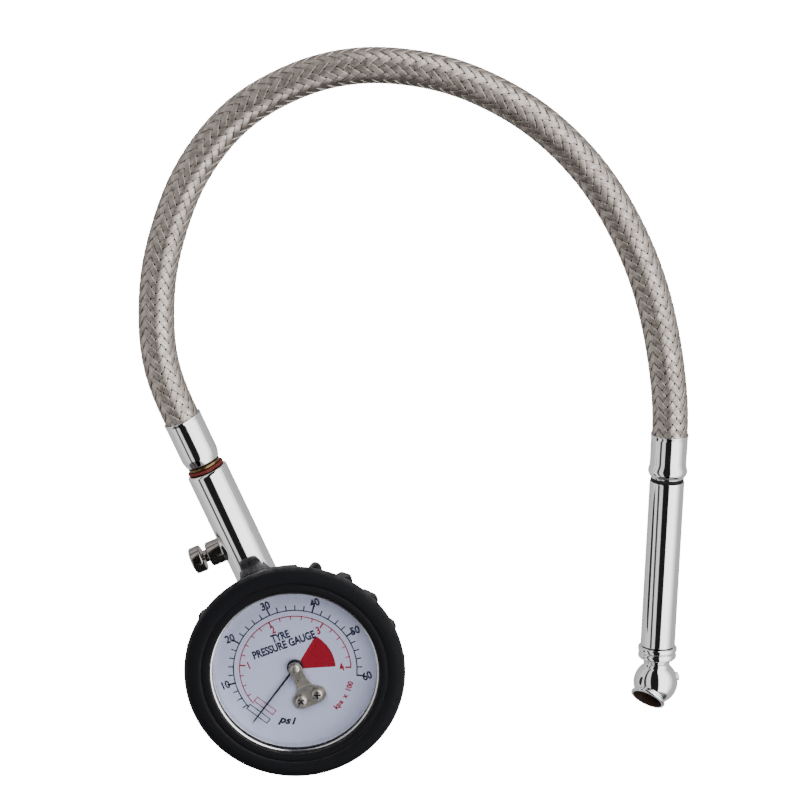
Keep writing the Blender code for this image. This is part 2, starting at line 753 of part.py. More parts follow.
def make_stem(stem_axis, bleed_axis):
    profile = (
        (STEM_BORE, SPIGOT_START),
        (SPIGOT_RADIUS, SPIGOT_START),
        (SPIGOT_RADIUS, STEM_START),
        (STEM_RADIUS, STEM_START),
        (STEM_RADIUS, STEM_END - 0.6),
        (STEM_RADIUS - 0.5, STEM_END),
        (SOCKET_RADIUS, STEM_END),
        (SOCKET_RADIUS, SOCKET_FLOOR),
        (VALVE_CHAMBER, SOCKET_FLOOR),
        (VALVE_CHAMBER, VALVE_CHAMBER_FLOOR),
        (STEM_BORE, VALVE_CHAMBER_FLOOR),
    )
    stem = turned("stem", profile, "chrome", stem_axis)
    join(stem, rod("bleed_pad", 4.2, 4.0, 6.3, "chrome", bleed_axis, steps=24))
    cut(stem, rod("bleed_port", 2.25, -0.6, 8.0, "chrome", bleed_axis, steps=24))


def make_bleed_valve(axis):
    bush = (
        (1.15, 4.3),
        (1.9, 4.3),
        (1.9, 6.6),
        (BLEED_BUSH_RADIUS, 6.6),
        (BLEED_BUSH_RADIUS, BLEED_BUSH_END - 0.3),
        (BLEED_BUSH_RADIUS - 0.3, BLEED_BUSH_END),
        (2.5, BLEED_BUSH_END),
        (2.5, 7.4),
        (1.15, 7.4),
    )
    turned("bleed_bush", bush, "chrome", axis, steps=24)
    pin = (
        (0, 2.0),
        (1.6, 2.0),
        (1.6, 2.8),
        (0.85, 2.8),
        (0.85, 10.6),
        (1.85, 10.6),
        (1.85, 11.6),
        (0.85, 11.6),
        (0.85, 14.6),
        (0, 14.6),
    )
    turned("bleed_pin", pin, "dark_nickel", axis, steps=16)
    ring("bleed_seal", 1.15, 1.75, 3.1, 4.0, "black_rubber", axis, steps=16)
    spring("bleed_spring", 1.75, 0.2, 7.7, 10.3, 3, "steel", axis)
    knob = (
        (0, 14.9),
        (1.15, 14.9),
        (1.15, BLEED_KNOB_START),
        (BLEED_KNOB_RADIUS - 0.3, BLEED_KNOB_START),
        (BLEED_KNOB_RADIUS, BLEED_KNOB_START + 0.3),
        (BLEED_KNOB_RADIUS, BLEED_KNOB_END - 0.5),
        (BLEED_KNOB_RADIUS - 0.5, BLEED_KNOB_END - 0.1),
        (0, BLEED_KNOB_END + 0.1),
    )
    turned("bleed_knob", knob, "dark_nickel", axis, steps=24)


def make_check_valve(axis):
    ring("check_seat", 1.2, 2.3, 53.4, 54.6, "brass", axis, steps=16)
    poppet = ((0, 48.5), (0.7, 48.5), (0.7, 51.6), (1.8, 51.6), (1.8, 52.6), (1.5, 53.1), (0, 53.1))
    turned("check_poppet", poppet, "brass", axis, steps=16)
    spring("check_spring", 1.45, 0.2, 46.7, 51.3, 4, "steel", axis)


# ---------------------------------------------------------------- hose ends


def barbed(low, high, shank, barb):
    """Profile points of a hose barb that gets thinner towards high."""
    points = [(shank, low)]
    length = (high - low) / 2
    for tooth in (1, 2):
        points.append((shank, low + (tooth - 0.75) * length))
        points.append((barb, low + (tooth - 0.7) * length))
        points.append((shank, low + tooth * length))
    return points


def make_gauge_end(axis):
    ring("red_seal_ring", 3.35, 5.65, STEM_END + GAP, 64.5, "red_rubber", axis)
    nipple = (
        (1.0, 55.9),
        (3.0, 55.9),
        (3.0, 64.8),
        (4.9, 64.8),
        (4.9, 65.5),
        (2.0, 65.5),
        *barbed(FERRULE_START + 1.6, 79.2, 2.0, 2.5),
        (1.0, 79.2),
    )
    turned("gauge_nipple", nipple, "brass", axis, steps=20)
    ferrule = (
        (2.35, FERRULE_START),
        (4.7, FERRULE_START),
        (5.0, FERRULE_START + 0.4),
        (FERRULE_RADIUS, FERRULE_START + 3.0),
        (FERRULE_RADIUS, FERRULE_END),
        (4.7, FERRULE_END),
        (4.7, FERRULE_START + 1.1),
        (2.35, FERRULE_START + 1.1),
    )
    turned("gauge_ferrule", ferrule, "chrome", axis)
    low, high = FERRULE_START + 1.5, FERRULE_END - GAP
    ring("gauge_liner_tail", 2.9, 4.35, low, high, "black_rubber", axis, steps=20)


def clamped_spline(points, start_direction, end_direction, count):
    """Points on a cubic through the route that leaves and arrives along the given directions."""
    route = np.array(points, float)
    knots = np.concatenate([[0.0], np.cumsum(np.linalg.norm(np.diff(route, axis=0), axis=1))])
    gaps = np.diff(knots)
    size = len(route)
    matrix = np.zeros((size, size))
    wanted = np.zeros((size, 3))
    slopes = np.diff(route, axis=0) / gaps[:, None]
    matrix[0, :2] = (2 * gaps[0], gaps[0])
    wanted[0] = 6 * (slopes[0] - np.array(start_direction))
    matrix[-1, -2:] = (gaps[-1], 2 * gaps[-1])
    wanted[-1] = 6 * (np.array(end_direction) - slopes[-1])
    for i in range(1, size - 1):
        matrix[i, i - 1 : i + 2] = (gaps[i - 1], 2 * (gaps[i - 1] + gaps[i]), gaps[i])
        wanted[i] = 6 * (slopes[i] - slopes[i - 1])
    bends = np.linalg.solve(matrix, wanted)
    found = []
    for place in np.linspace(0, knots[-1], count + 1):
        i = min(int(np.searchsorted(knots, place, "right")) - 1, size - 2)
        after, before = (knots[i + 1] - place), (place - knots[i])
        gap = gaps[i]
        spot = (bends[i] * after**3 + bends[i + 1] * before**3) / (6 * gap)
        spot = spot + (route[i] / gap - bends[i] * gap / 6) * after
        spot = spot + (route[i + 1] / gap - bends[i + 1] * gap / 6) * before
        found.append(spot)
    return found


def chuck_direction():
    along = bearing(CHUCK_BEARING)
    return Vector((along.x, along.y, 0))


def make_hose():
    """Runs from one ferrule's mouth to the other's, with a short straight stretch at each end."""
    along = chuck_direction()
    last = Vector(CHUCK_START) - along * GAP
    route = (*HOSE_ROUTE, tuple(last))
    points = clamped_spline(route, (0, 1, 0), tuple(along), HOSE_STEPS)
    first = Vector(HOSE_ROUTE[0])
    points[1:1] = [first + Vector((0, HOSE_STRAIGHT, 0))]
    points[-1:-1] = [last - along * HOSE_STRAIGHT]
    wire("hose", points, HOSE_RADIUS, 4, "braid")


# ---------------------------------------------------------------- chuck


def make_far_fitting(axis):
    end = FAR_FERRULE_LENGTH
    ferrule = (
        (2.4, end),
        (2.4, end - 1.3),
        (4.7, end - 1.3),
        (4.7, 0.0),
        (FERRULE_RADIUS, 0.0),
        (FERRULE_RADIUS, end - 3.5),
        (5.75, end - 2.7),
        (5.8, end - 1.9),
        (5.7, end - 1.1),
        (5.2, end - 0.5),
        (5.0, end),
    )
    turned("chuck_ferrule", ferrule, "chrome", axis)
    ring("chuck_liner_tail", 2.9, 4.35, GAP, end - 1.8, "black_rubber", axis, steps=20)
    barb_end = end - 1.9
    barb = [(radius, barb_end - height) for radius, height in barbed(0.0, barb_end - 1.2, 2.0, 2.5)]
    shoulder = TUBE_FLOOR + 0.4
    nipple = ((1.0, 1.2), *reversed(barb), (2.0, shoulder), (3.4, shoulder))
    nipple = (*nipple, (3.4, shoulder + 1.0), (1.0, shoulder + 1.0))
    turned("swivel_nipple", nipple, "brass", axis, steps=20)
    ring("swivel_o_ring", 2.5, 4.95, end + GAP, TUBE_START - GAP, "black_rubber", axis)


def make_chuck_tube(axis):
    profile = (
        (2.4, TUBE_START),
        (4.95, TUBE_START),
        (TUBE_RADIUS, TUBE_START + 0.2),
        (TUBE_RADIUS, TUBE_END),
        (TUBE_BORE, TUBE_END),
        (TUBE_BORE, TUBE_FLOOR),
        (2.4, TUBE_FLOOR),
    )
    turned("chuck_tube", profile, "chrome", axis)


def ball_arc(first, steps):
    """Profile points on the ball from the given radius to its far pole."""
    start = math.pi - math.asin(first / BALL_RADIUS)
    angles = np.linspace(start, 0, steps + 1)[:-1]
    points = [(BALL_RADIUS * math.sin(a), BALL_CENTRE + BALL_RADIUS * math.cos(a)) for a in angles]
    return [*points, (0, BALL_CENTRE + BALL_RADIUS)]


def make_ball_chuck(axis, mouth_axis):
    profile = (
        (0, 57.0),
        (3.7, 57.0),
        (3.7, TUBE_END + GAP),
        (5.3, TUBE_END + GAP),
        (5.8, 65.8),
        (5.8, 67.0),
        (5.3, 67.3),
        (5.3, 67.8),
        (5.65, 68.1),
        (5.65, 69.0),
        (5.1, 69.5),
        (4.2, 70.1),
        (3.9, 70.8),
        *ball_arc(4.0, 8),
    )
    head = turned("ball_chuck", profile, "chrome", axis)
    lip = (
        (0, 0),
        (4.5, 0),
        (4.6, 5.0),
        (MOUTH_LIP_RADIUS, 5.4),
        (MOUTH_LIP_RADIUS, MOUTH_LIP_END - 0.2),
        (MOUTH_LIP_RADIUS - 0.15, MOUTH_LIP_END),
        (0, MOUTH_LIP_END),
    )
    join(head, turned("mouth_lip", lip, "chrome", mouth_axis))
    cut(head, rod("mouth_bore", MOUTH_RADIUS, MOUTH_FLOOR, 9.0, "chrome", mouth_axis, steps=24))
    drill(head, 1.4, (0, 0, 55.0), (0, 0, BALL_CENTRE - 1.0))
    plug_hole = Vector(PLUG_DIRECTION).normalized()
    centre = Vector((0, 0, BALL_CENTRE))
    drill(head, 1.3, centre + plug_hole * 5.2, centre + plug_hole * 9.0)


def make_mouth_parts(mouth_axis):
    disc = rod("valve_depressor", 3.7, -1.2, -0.5, "brass", mouth_axis, steps=20)
    join(disc, rod("depressor_pin", 0.75, -0.9, 2.0, "brass", mouth_axis, steps=16))
    for side in (-1, 1):
        drill(disc, 0.7, (2.2 * side, 0, -3), (2.2 * side, 0, 2), 12)
    ring("mouth_seal", 1.2, 3.7, -0.2, 1.6, "black_rubber", mouth_axis, steps=20)


def make_ball_plug(axis):
    direction = Vector(PLUG_DIRECTION).normalized()
    frame = axis_frame("plug_axis", (0, 0, BALL_CENTRE), direction, axis)
    profile = ((0, 5.5), (1.0, 5.5), (1.0, 6.9), (1.3, 7.0), (1.1, 7.4), (0.6, 7.6), (0, 7.65))
    turned("ball_plug", profile, "chrome", frame, steps=16)


# ---------------------------------------------------------------- whole gauge


def make_gauge_body():
    make_boot()
    make_case()
    make_window()
    make_dial()
    make_pointer()
    make_bridge()
    make_bridge_bush()
    make_bridge_screws()


def make_movement():
    make_pinion_staff()
    make_sector()
    make_plates()
    make_hairspring()
    make_bourdon()
    make_bourdon_tip()
    make_link()
    make_socket_block()


def make_stem_group(stem_axis):
    bleed_axis = axis_frame("bleed_axis", (0, BLEED_Y, STEM_Z), (-1, 0, 0))
    make_stem(stem_axis, bleed_axis)
    make_bleed_valve(bleed_axis)
    make_check_valve(stem_axis)
    make_gauge_end(stem_axis)


def make_chuck_group():
    axis = axis_frame("chuck_axis", CHUCK_START, chuck_direction())
    off, roll = math.radians(MOUTH_ANGLE), math.radians(MOUTH_ROLL)
    mouth = Vector((math.sin(off) * math.cos(roll), math.sin(off) * math.sin(roll), math.cos(off)))
    mouth_axis = axis_frame("mouth_axis", (0, 0, BALL_CENTRE), mouth, axis)
    make_far_fitting(axis)
    make_chuck_tube(axis)
    make_ball_chuck(axis, mouth_axis)
    make_mouth_parts(mouth_axis)
    make_ball_plug(axis)


def main():
    clear_scene()
    stem_axis = axis_frame("stem_axis", (0, 0, STEM_Z), (0, 1, 0))
    make_gauge_body()
    make_movement()
    make_stem_group(stem_axis)
    make_hose()
    make_chuck_group()


main()
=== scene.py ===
"""Looks of the dial tire pressure gauge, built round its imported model.

Lengths are in millimetres and MM turns them into the frame's metres. The frame's origin is the centre of
the boot's flat back, +Z points out of the dial and +Y runs along the stem. Dial angles are in degrees from
twelve o'clock, positive clockwise as the dial is read.
"""

import math

import bmesh
import bpy
import numpy as np
from mathutils import Matrix, Vector


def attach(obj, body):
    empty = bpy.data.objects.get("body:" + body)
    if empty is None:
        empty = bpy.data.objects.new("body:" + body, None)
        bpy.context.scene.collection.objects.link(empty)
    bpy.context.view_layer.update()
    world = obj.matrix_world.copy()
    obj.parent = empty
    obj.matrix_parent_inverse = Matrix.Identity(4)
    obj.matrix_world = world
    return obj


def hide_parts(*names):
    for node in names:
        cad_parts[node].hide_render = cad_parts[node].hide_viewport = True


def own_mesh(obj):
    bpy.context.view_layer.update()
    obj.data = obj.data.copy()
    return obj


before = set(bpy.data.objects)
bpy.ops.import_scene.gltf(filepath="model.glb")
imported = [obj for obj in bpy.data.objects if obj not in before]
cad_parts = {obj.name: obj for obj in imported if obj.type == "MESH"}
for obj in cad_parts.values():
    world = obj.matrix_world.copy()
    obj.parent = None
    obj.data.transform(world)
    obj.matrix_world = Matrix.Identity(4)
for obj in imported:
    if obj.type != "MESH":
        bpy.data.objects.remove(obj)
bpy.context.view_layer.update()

MM = 0.001
CLEARANCE = 0.3

# Camera
CAMERA_TILT = 16.0
CAMERA_ROLL = 24.0
CAMERA_AIM = (59.2, 57.0, 0.0)
CAMERA_DISTANCE = 1300.0
CAMERA_LENS = 199.0

# Studio. Each wall is (degrees right of the camera, brightness). The walls are MIRROR_LEVEL times as bright
# in reflections and WALL_LIGHT times as bright where they light matt surfaces. LOW_SHADE is two sines of the
# angle toward the picture's top, negative toward its foot, and the share of light at each.
FLOOR_HALF_WIDTH = 3000.0
FLOOR_GLOW = 16.0
MIRROR_LEVEL = 3.2
WALL_LIGHT = 1.0
LAMP_REACH = 1000.0
WALLS = (
    (-180, 0.16),
    (-110, 0.22),
    (-92, 0.30),
    (-68, 0.34),
    (-65, 0.015),
    (-54, 0.015),
    (-51, 0.32),
    (-32, 0.34),
    (-28, 0.005),
    (13, 0.005),
    (16, 0.95),
    (60, 1.0),
    (82, 0.5),
    (100, 0.2),
    (180, 0.16),
)
LOW_SHADE = (-0.80, -0.71, 0.12, 1.0)

# Hose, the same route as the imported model's
STEM_Z = 10.0
FERRULE_START = 65.8
FERRULE_END = 80.5
CHUCK_START = Vector((128.0, 17.2, 6.75))
CHUCK_BEARING = 206.2
HOSE_INSET = 0.8
HOSE_ROUTE = (
    (0.0, 80.8, 10.0),
    (0.2, 90.0, 9.7),
    (1.6, 99.5, 8.6),
    (5.8, 111.2, 6.9),
    (11.9, 122.5, 5.8),
    (20.0, 133.0, 5.4),
    (29.3, 142.4, 5.3),
    (40.2, 150.0, 5.3),
    (52.4, 155.3, 5.3),
    (65.5, 157.4, 5.3),
    (78.7, 156.9, 5.3),
    (91.5, 153.5, 5.3),
    (103.0, 147.6, 5.3),
    (113.1, 140.1, 5.3),
    (121.5, 131.2, 5.3),
    (128.5, 121.3, 5.3),
    (133.7, 110.9, 5.3),
    (137.5, 99.8, 5.3),
    (139.8, 88.1, 5.3),
    (140.7, 76.3, 5.3),
    (140.4, 63.9, 5.3),
    (138.7, 51.3, 5.4),
    (135.6, 38.0, 5.8),
    (131.4, 25.0, 6.5),
)

# Braid
STRANDS_EACH_WAY = 12
BRAID_PITCH = 41.0
STRAND_WIDTH = 1.68
STRAND_THICKNESS = 0.26
WIRES_PER_STRAND = 6
WEAVE_HEIGHT = 0.17
BRAID_RADIUS = 5.0
CORE_RADIUS = 4.72
SAMPLES_PER_CROSSING = 3

# Boot
BOOT_RADIUS = 32.5
BOOT_HEIGHT = 26.1
BOOT_FLOOR = 2.0
NUB_HEIGHT = 2.3
NUB_HALF_ANGLE = 3.2
NUB_PITCH_ANGLE = 18.0
PAD_HALF_ANGLE = 26.5
PAD_EDGE_ANGLE = 24.0
PAD_SHARE = 0.35
BOOT_COLUMNS = 720

# Dial, pointer and bridge
DIAL_TOP = 19.1
PRINT_CENTRE = (-0.3, -0.75)
PRINT_HEIGHT = 0.03
CAPITAL_SHARE = 0.72  # of the font's size
PSI_ARC = 18.2
KPA_ARC = 16.4
DEGREES_PER_PSI = 4.0
DEGREES_PER_BAR = 58.0
PSI_ZERO = -120.0
POINTER_REST_ANGLE = -120.0
SCREW_PLACES = ((-2.6, -10.2), (2.6, -10.2))

# Stem, bleed valve and chuck
STEM_RADIUS = 6.15
STEM_START = 26.8
STEM_END = 63.4
BLEED_Y = 39.2
BLEED_SPRING_FOOT = 7.6
CHECK_SPRING_FOOT = 46.7
TUBE_RADIUS = 5.15
TUBE_START = 14.3
TUBE_END = 65.2
BALL_CENTRE = 77.0
BALL_RADIUS = 6.6
MOUTH_ANGLE = 45.0
MOUTH_ROLL = 124.0
PLUG_DIRECTION = (0.96, -0.07, -0.28)


def bearing(angle, radius=1.0):
    """The point at that radius and dial angle."""
    turn = math.radians(angle)
    return Vector((radius * math.sin(turn), radius * math.cos(turn)))


def axis_matrix(location, direction, parent=None):
    """A frame in millimetres at a location, with +Z along direction and +Y as far up as it can point."""
    turn = Vector(direction).to_track_quat("Z", "Y").to_matrix().to_4x4()
    made = Matrix.Translation(Vector(location)) @ turn
    return parent @ made if parent else made


UPRIGHT = Matrix.Identity(4)
STEM_AXIS = axis_matrix((0, 0, STEM_Z), (0, 1, 0))
BLEED_AXIS = axis_matrix((0, BLEED_Y, STEM_Z), (-1, 0, 0))
CHUCK_ALONG = Vector((*bearing(CHUCK_BEARING), 0.0))
CHUCK_AXIS = axis_matrix(CHUCK_START, CHUCK_ALONG)


def mouth_direction():
    off, roll = math.radians(MOUTH_ANGLE), math.radians(MOUTH_ROLL)
    return Vector((math.sin(off) * math.cos(roll), math.sin(off) * math.sin(roll), math.cos(off)))


MOUTH_AXIS = axis_matrix((0, 0, BALL_CENTRE), mouth_direction(), CHUCK_AXIS)
PLUG_AXIS = axis_matrix((0, 0, BALL_CENTRE), Vector(PLUG_DIRECTION).normalized(), CHUCK_AXIS)


# ---------------------------------------------------------------- materials


class Look:
    """A node material in the making: a Principled shader whose textures follow the object."""

    def __init__(self, name, colour, roughness, metallic=0.0, **values):
        self.material = bpy.data.materials.new(name)
        self.material.use_nodes = True
        self.nodes = self.material.node_tree.nodes
        self.links = self.material.node_tree.links
        self.shader = self.nodes["Principled BSDF"]
        self.shader.inputs["Base Color"].default_value = (*colour, 1.0)
        self.shader.inputs["Roughness"].default_value = roughness
        self.shader.inputs["Metallic"].default_value = metallic
        for socket, value in values.items():
            self.shader.inputs[socket.replace("_", " ")].default_value = value
        coordinates = self.nodes.new("ShaderNodeTexCoord").outputs
        self.place, self.facing = coordinates["Object"], coordinates["Normal"]

    def noise(self, size, detail=3.0, stretch=(1, 1, 1)):
        """Noise whose features are about size millimetres wide, stretched by the given factors."""
        mapping = self.nodes.new("ShaderNodeMapping")
        mapping.inputs["Scale"].default_value = [1 / (size * MM * factor) for factor in stretch]
        self.links.new(self.place, mapping.inputs["Vector"])
        texture = self.nodes.new("ShaderNodeTexNoise")
        texture.inputs["Scale"].default_value = 1.0
        texture.inputs["Detail"].default_value = detail
        self.links.new(mapping.outputs["Vector"], texture.inputs["Vector"])
        return texture.outputs["Fac"]

    def spread(self, source, low, high, start=0.3, end=0.7):
        node = self.nodes.new("ShaderNodeMapRange")
        for socket, value in (("From Min", start), ("From Max", end), ("To Min", low), ("To Max", high)):
            node.inputs[socket].default_value = value
        self.links.new(source, node.inputs["Value"])
        return node.outputs["Result"]

    def tint(self, source, first, second):
        """Base colour between two colours, by the source's value from 0 to 1."""
        mix = self.nodes.new("ShaderNodeMix")
        mix.data_type = "RGBA"
        self.links.new(source, mix.inputs["Factor"])
        colours = [socket for socket in mix.inputs if socket.type == "RGBA"]
        colours[0].default_value = (*first, 1.0)
        colours[1].default_value = (*second, 1.0)
        result = next(socket for socket in mix.outputs if socket.type == "RGBA")
        self.links.new(result, self.shader.inputs["Base Color"])

    def rough(self, source, low, high):
        self.links.new(self.spread(source, low, high), self.shader.inputs["Roughness"])

    def bump(self, source, depth, strength=1.0):
        """Relief of about depth millimetres."""
        node = self.nodes.new("ShaderNodeBump")
        node.inputs["Strength"].default_value = strength
        node.inputs["Distance"].default_value = depth * MM
        self.links.new(source, node.inputs["Height"])
        previous = self.shader.inputs["Normal"].links
        if previous:
            self.links.new(previous[0].from_socket, node.inputs["Normal"])
        self.links.new(node.outputs["Normal"], self.shader.inputs["Normal"])


def wired(nodes, links, kind, operation, *values):
    """A math node of that kind whose inputs are the given numbers, vectors or outputs of other nodes."""
    node = nodes.new(kind)
    node.operation = operation
    for socket, value in zip(node.inputs, values):
        if isinstance(value, bpy.types.NodeSocket):
            links.new(value, socket)
        else:
            socket.default_value = value
    return node


def chrome_look():
    look = Look("bright_chrome", (0.86, 0.865, 0.875), 0.06, 1.0)
    look.tint(look.spread(look.noise(9.0), 0, 1), (0.84, 0.845, 0.86), (0.89, 0.89, 0.895))
    look.rough(look.noise(1.6, 5.0), 0.035, 0.095)
    look.bump(look.noise(5.0, 2.0), 0.012, 0.35)
    return look.material


def bezel_look():
    look = Look("bezel_steel", (0.80, 0.79, 0.77), 0.14, 1.0)
    look.tint(look.spread(look.noise(3.0), 0, 1), (0.74, 0.73, 0.71), (0.86, 0.85, 0.83))
    look.rough(look.noise(0.4, 4.0), 0.10, 0.2)
    return look.material


def nickel_look():
    look = Look("satin_nickel", (0.60, 0.56, 0.50), 0.3, 1.0)
    look.tint(look.spread(look.noise(2.5, 3.0), 0, 1), (0.56, 0.52, 0.46), (0.66, 0.62, 0.56))
    look.rough(look.noise(0.5, 4.0), 0.26, 0.38)
    look.bump(look.noise(0.25, 3.0, (1, 8, 1)), 0.006, 0.4)
    return look.material


def knob_look():
    look = Look("polished_nickel", (0.33, 0.30, 0.28), 0.14, 1.0)
    look.tint(look.spread(look.noise(1.2, 3.0), 0, 1), (0.29, 0.262, 0.24), (0.37, 0.34, 0.32))
    look.rough(look.noise(0.4, 4.0), 0.10, 0.22)
    look.bump(look.noise(0.3, 2.0), 0.006, 0.4)
    return look.material


def rubber_look(name, dark, light, grain, depth):
    look = Look(name, dark, 0.6, Specular_IOR_Level=0.14)
    look.tint(look.spread(look.noise(2.2, 5.0), 0, 1), dark, light)
    look.rough(look.noise(0.9, 5.0), 0.46, 0.66)
    look.bump(look.noise(grain, 4.0), depth, 0.55)
    look.bump(look.noise(grain * 9, 2.0), depth * 3, 0.25)
    return look.material


def boot_look():
    """Black rubber with grey painted in patches on its side walls: painted light in place of light from
    above.
    """
    look = Look("boot_rubber_matt", (0.006, 0.006, 0.008), 0.6, Specular_IOR_Level=0.14)
    split = look.nodes.new("ShaderNodeSeparateXYZ")
    look.links.new(look.facing, split.inputs["Vector"])
    side = look.spread(split.outputs["Z"], 1.0, 0.0, 0.25, 0.8)
    patches = look.spread(look.noise(2.2, 5.0), 0.12, 0.9)
    # Painted light: the side walls, picked out by their normal and broken into noise patches, are tinted from
    # near black to grey in place of light from above.
    painted_side_light = wired(look.nodes, look.links, "ShaderNodeMath", "MULTIPLY", side, patches)
    look.tint(painted_side_light.outputs["Value"], (0.004, 0.004, 0.0055), (0.085, 0.085, 0.087))
    look.rough(look.noise(0.9, 5.0), 0.46, 0.66)
    look.bump(look.noise(0.22, 4.0), 0.02, 0.55)
    look.bump(look.noise(2.0, 2.0), 0.06, 0.25)
    return look.material


def metal_look(name, dark, light, low, high):
    look = Look(name, dark, low, 1.0)
    look.tint(look.spread(look.noise(1.1, 4.0), 0, 1), dark, light)
    look.rough(look.noise(0.35, 4.0), low, high)
    look.bump(look.noise(0.2, 3.0), 0.01, 0.4)
    return look.material


def braid_look():
    look = Look("stainless_wire", (0.44, 0.40, 0.37), 0.42, 1.0)
    patches = look.spread(look.noise(1.9, 4.0), 0, 1, 0.35, 0.65)
    look.tint(patches, (0.33, 0.288, 0.258), (0.575, 0.515, 0.465))
    look.rough(look.noise(0.5, 4.0), 0.34, 0.52)
    look.bump(look.noise(0.16, 3.0), 0.02, 0.5)
    return look.material


def dial_look():
    look = Look("dial_enamel", (0.635, 0.675, 0.93), 0.42)
    look.tint(look.spread(look.noise(14.0, 2.0), 0, 1), (0.62, 0.66, 0.915), (0.65, 0.69, 0.945))
    look.rough(look.noise(0.3, 4.0), 0.36, 0.5)
    look.bump(look.noise(0.35, 4.0), 0.006, 0.4)
    return look.material


def ink_look(name, dark, light):
    look = Look(name, dark, 0.45, Specular_IOR_Level=0.1)
    look.tint(look.spread(look.noise(0.5, 3.0), 0, 1), dark, light)
    look.rough(look.noise(0.3, 3.0), 0.38, 0.52)
    return look.material


def lens_look():
    look = Look("clear_lens_plastic", (0.06, 0.07, 0.09), 0.03, Alpha=0.05, Specular_IOR_Level=0.15)
    look.rough(look.noise(8.0, 3.0), 0.02, 0.06)
    return look.material


LOOKS = {
    "chrome": chrome_look(),
    "bezel": bezel_look(),
    "nickel": nickel_look(),
    "knob": knob_look(),
    "boot": boot_look(),
    "seal": rubber_look("seal_rubber", (0.012, 0.012, 0.012), (0.022, 0.021, 0.02), 0.2, 0.01),
    "core": rubber_look("hose_core_rubber", (0.004, 0.0035, 0.003), (0.010, 0.009, 0.008), 0.3, 0.02),
    "mouth": rubber_look("mouth_rubber", (0.020, 0.010, 0.007), (0.045, 0.022, 0.014), 0.3, 0.02),
    "red": rubber_look("red_fibre", (0.11, 0.018, 0.016), (0.17, 0.036, 0.03), 0.2, 0.01),
    "brass": metal_look("turned_brass", (0.42, 0.28, 0.12), (0.60, 0.43, 0.20), 0.2, 0.36),
    # Darker brass for the nipple's flange, which sits in the narrow groove between the red washer and the
    # ferrule.
    "flange": metal_look("dark_brass", (0.13, 0.09, 0.04), (0.24, 0.17, 0.08), 0.24, 0.4),
    "bronze": metal_look("phosphor_bronze", (0.46, 0.26, 0.14), (0.62, 0.39, 0.22), 0.26, 0.42),
    "steel": metal_look("plated_steel", (0.50, 0.49, 0.47), (0.66, 0.65, 0.63), 0.2, 0.38),
    "braid": braid_look(),
    "dial": dial_look(),
    "black_ink": ink_look("black_ink", (0.006, 0.008, 0.020), (0.011, 0.013, 0.028)),
    "red_ink": ink_look("red_ink", (0.30, 0.0, 0.012), (0.36, 0.001, 0.016)),
    "pointer": ink_look("pointer_paint", (0.006, 0.006, 0.008), (0.012, 0.012, 0.015)),
    "lens": lens_look(),
}


# ---------------------------------------------------------------- mesh helpers


def softened(points, radius, closed=False, steps=4):
    """The outline with its corners rounded to about that radius, or less where a side is short."""
    found = []
    count = len(points)
    for i, spot in enumerate(points):
        here = Vector(spot)
        if not closed and i in (0, count - 1):
            found.append(tuple(here))
            continue
        before, after = Vector(points[i - 1]), Vector(points[(i + 1) % count])
        reach = min(radius, 0.45 * (before - here).length, 0.45 * (after - here).length)
        start = here + (before - here).normalized() * reach
        end = here + (after - here).normalized() * reach
        for step in range(steps + 1):
            share = step / steps
            found.append(tuple(start.lerp(here, share).lerp(here.lerp(end, share), share)))
    return found


def mesh_of(name, vertices, faces, look, sharp=40, matrix=UPRIGHT):
    """An object from points in millimetres, with its faces turned outward."""
    mesh = bpy.data.meshes.new(name)
    mesh.from_pydata([tuple((matrix @ Vector(v)) * MM) for v in vertices], [], faces)
    bm = bmesh.new()
    bm.from_mesh(mesh)
    bmesh.ops.remove_doubles(bm, verts=bm.verts, dist=1e-7)
    bmesh.ops.recalc_face_normals(bm, faces=bm.faces)
    bm.to_mesh(mesh)
    bm.free()
    mesh.materials.append(LOOKS[look])
    mesh.shade_smooth()
    mesh.set_sharp_from_angle(angle=math.radians(sharp))
    made = bpy.data.objects.new(name, mesh)
    bpy.context.scene.collection.objects.link(made)
    return made


def lathe(name, profile, matrix, look, soft=0.15, steps=96, sharp=40):
    """A profile of (radius, height) points turned about the matrix's +Z, closed where it leaves the axis."""
    ring = profile[0][0] > 0
    outline = softened(profile, soft, closed=ring) if soft else list(profile)
    vertices, rows, faces = [], [], []
    for radius, height in outline:
        if radius < 1e-6:
            rows.append([len(vertices)] * steps)
            vertices.append((0.0, 0.0, height))
            continue
        rows.append(list(range(len(vertices), len(vertices) + steps)))
        for step in range(steps):
            turn = 2 * math.pi * step / steps
            vertices.append((radius * math.cos(turn), radius * math.sin(turn), height))
    pairs = list(zip(rows, rows[1:])) + ([(rows[-1], rows[0])] if ring else [])
    for one, two in pairs:
        for step in range(steps):
            after = (step + 1) % steps
            corners = (one[step], one[after], two[after], two[step])
            unique = tuple(dict.fromkeys(corners))
            if len(unique) > 2:
                faces.append(unique)
    return mesh_of(name, vertices, faces, look, sharp, matrix)


def washer(name, inner, outer, low, high, matrix, look, soft=0.1, steps=96):
    profile = ((inner, low), (outer, low), (outer, high), (inner, high))
    return lathe(name, profile, matrix, look, soft, steps)


def prism(name, outline, low, high, look, matrix=UPRIGHT, bevel=0.0):
    """A flat outline in XY given a thickness, with its edges bevelled."""
    count = len(outline)
    vertices = [(x, y, low) for x, y in outline] + [(x, y, high) for x, y in outline]
    faces = [tuple(range(count)), tuple(range(count, 2 * count))]
    faces += [(i, (i + 1) % count, (i + 1) % count + count, i + count) for i in range(count)]
    made = mesh_of(name, vertices, faces, look, matrix=matrix)
    if bevel:
        modifier = made.modifiers.new("bevel", "BEVEL")
        modifier.width = bevel * MM
        modifier.segments = 2
        modifier.limit_method = "ANGLE"
        settle(made)
    return made


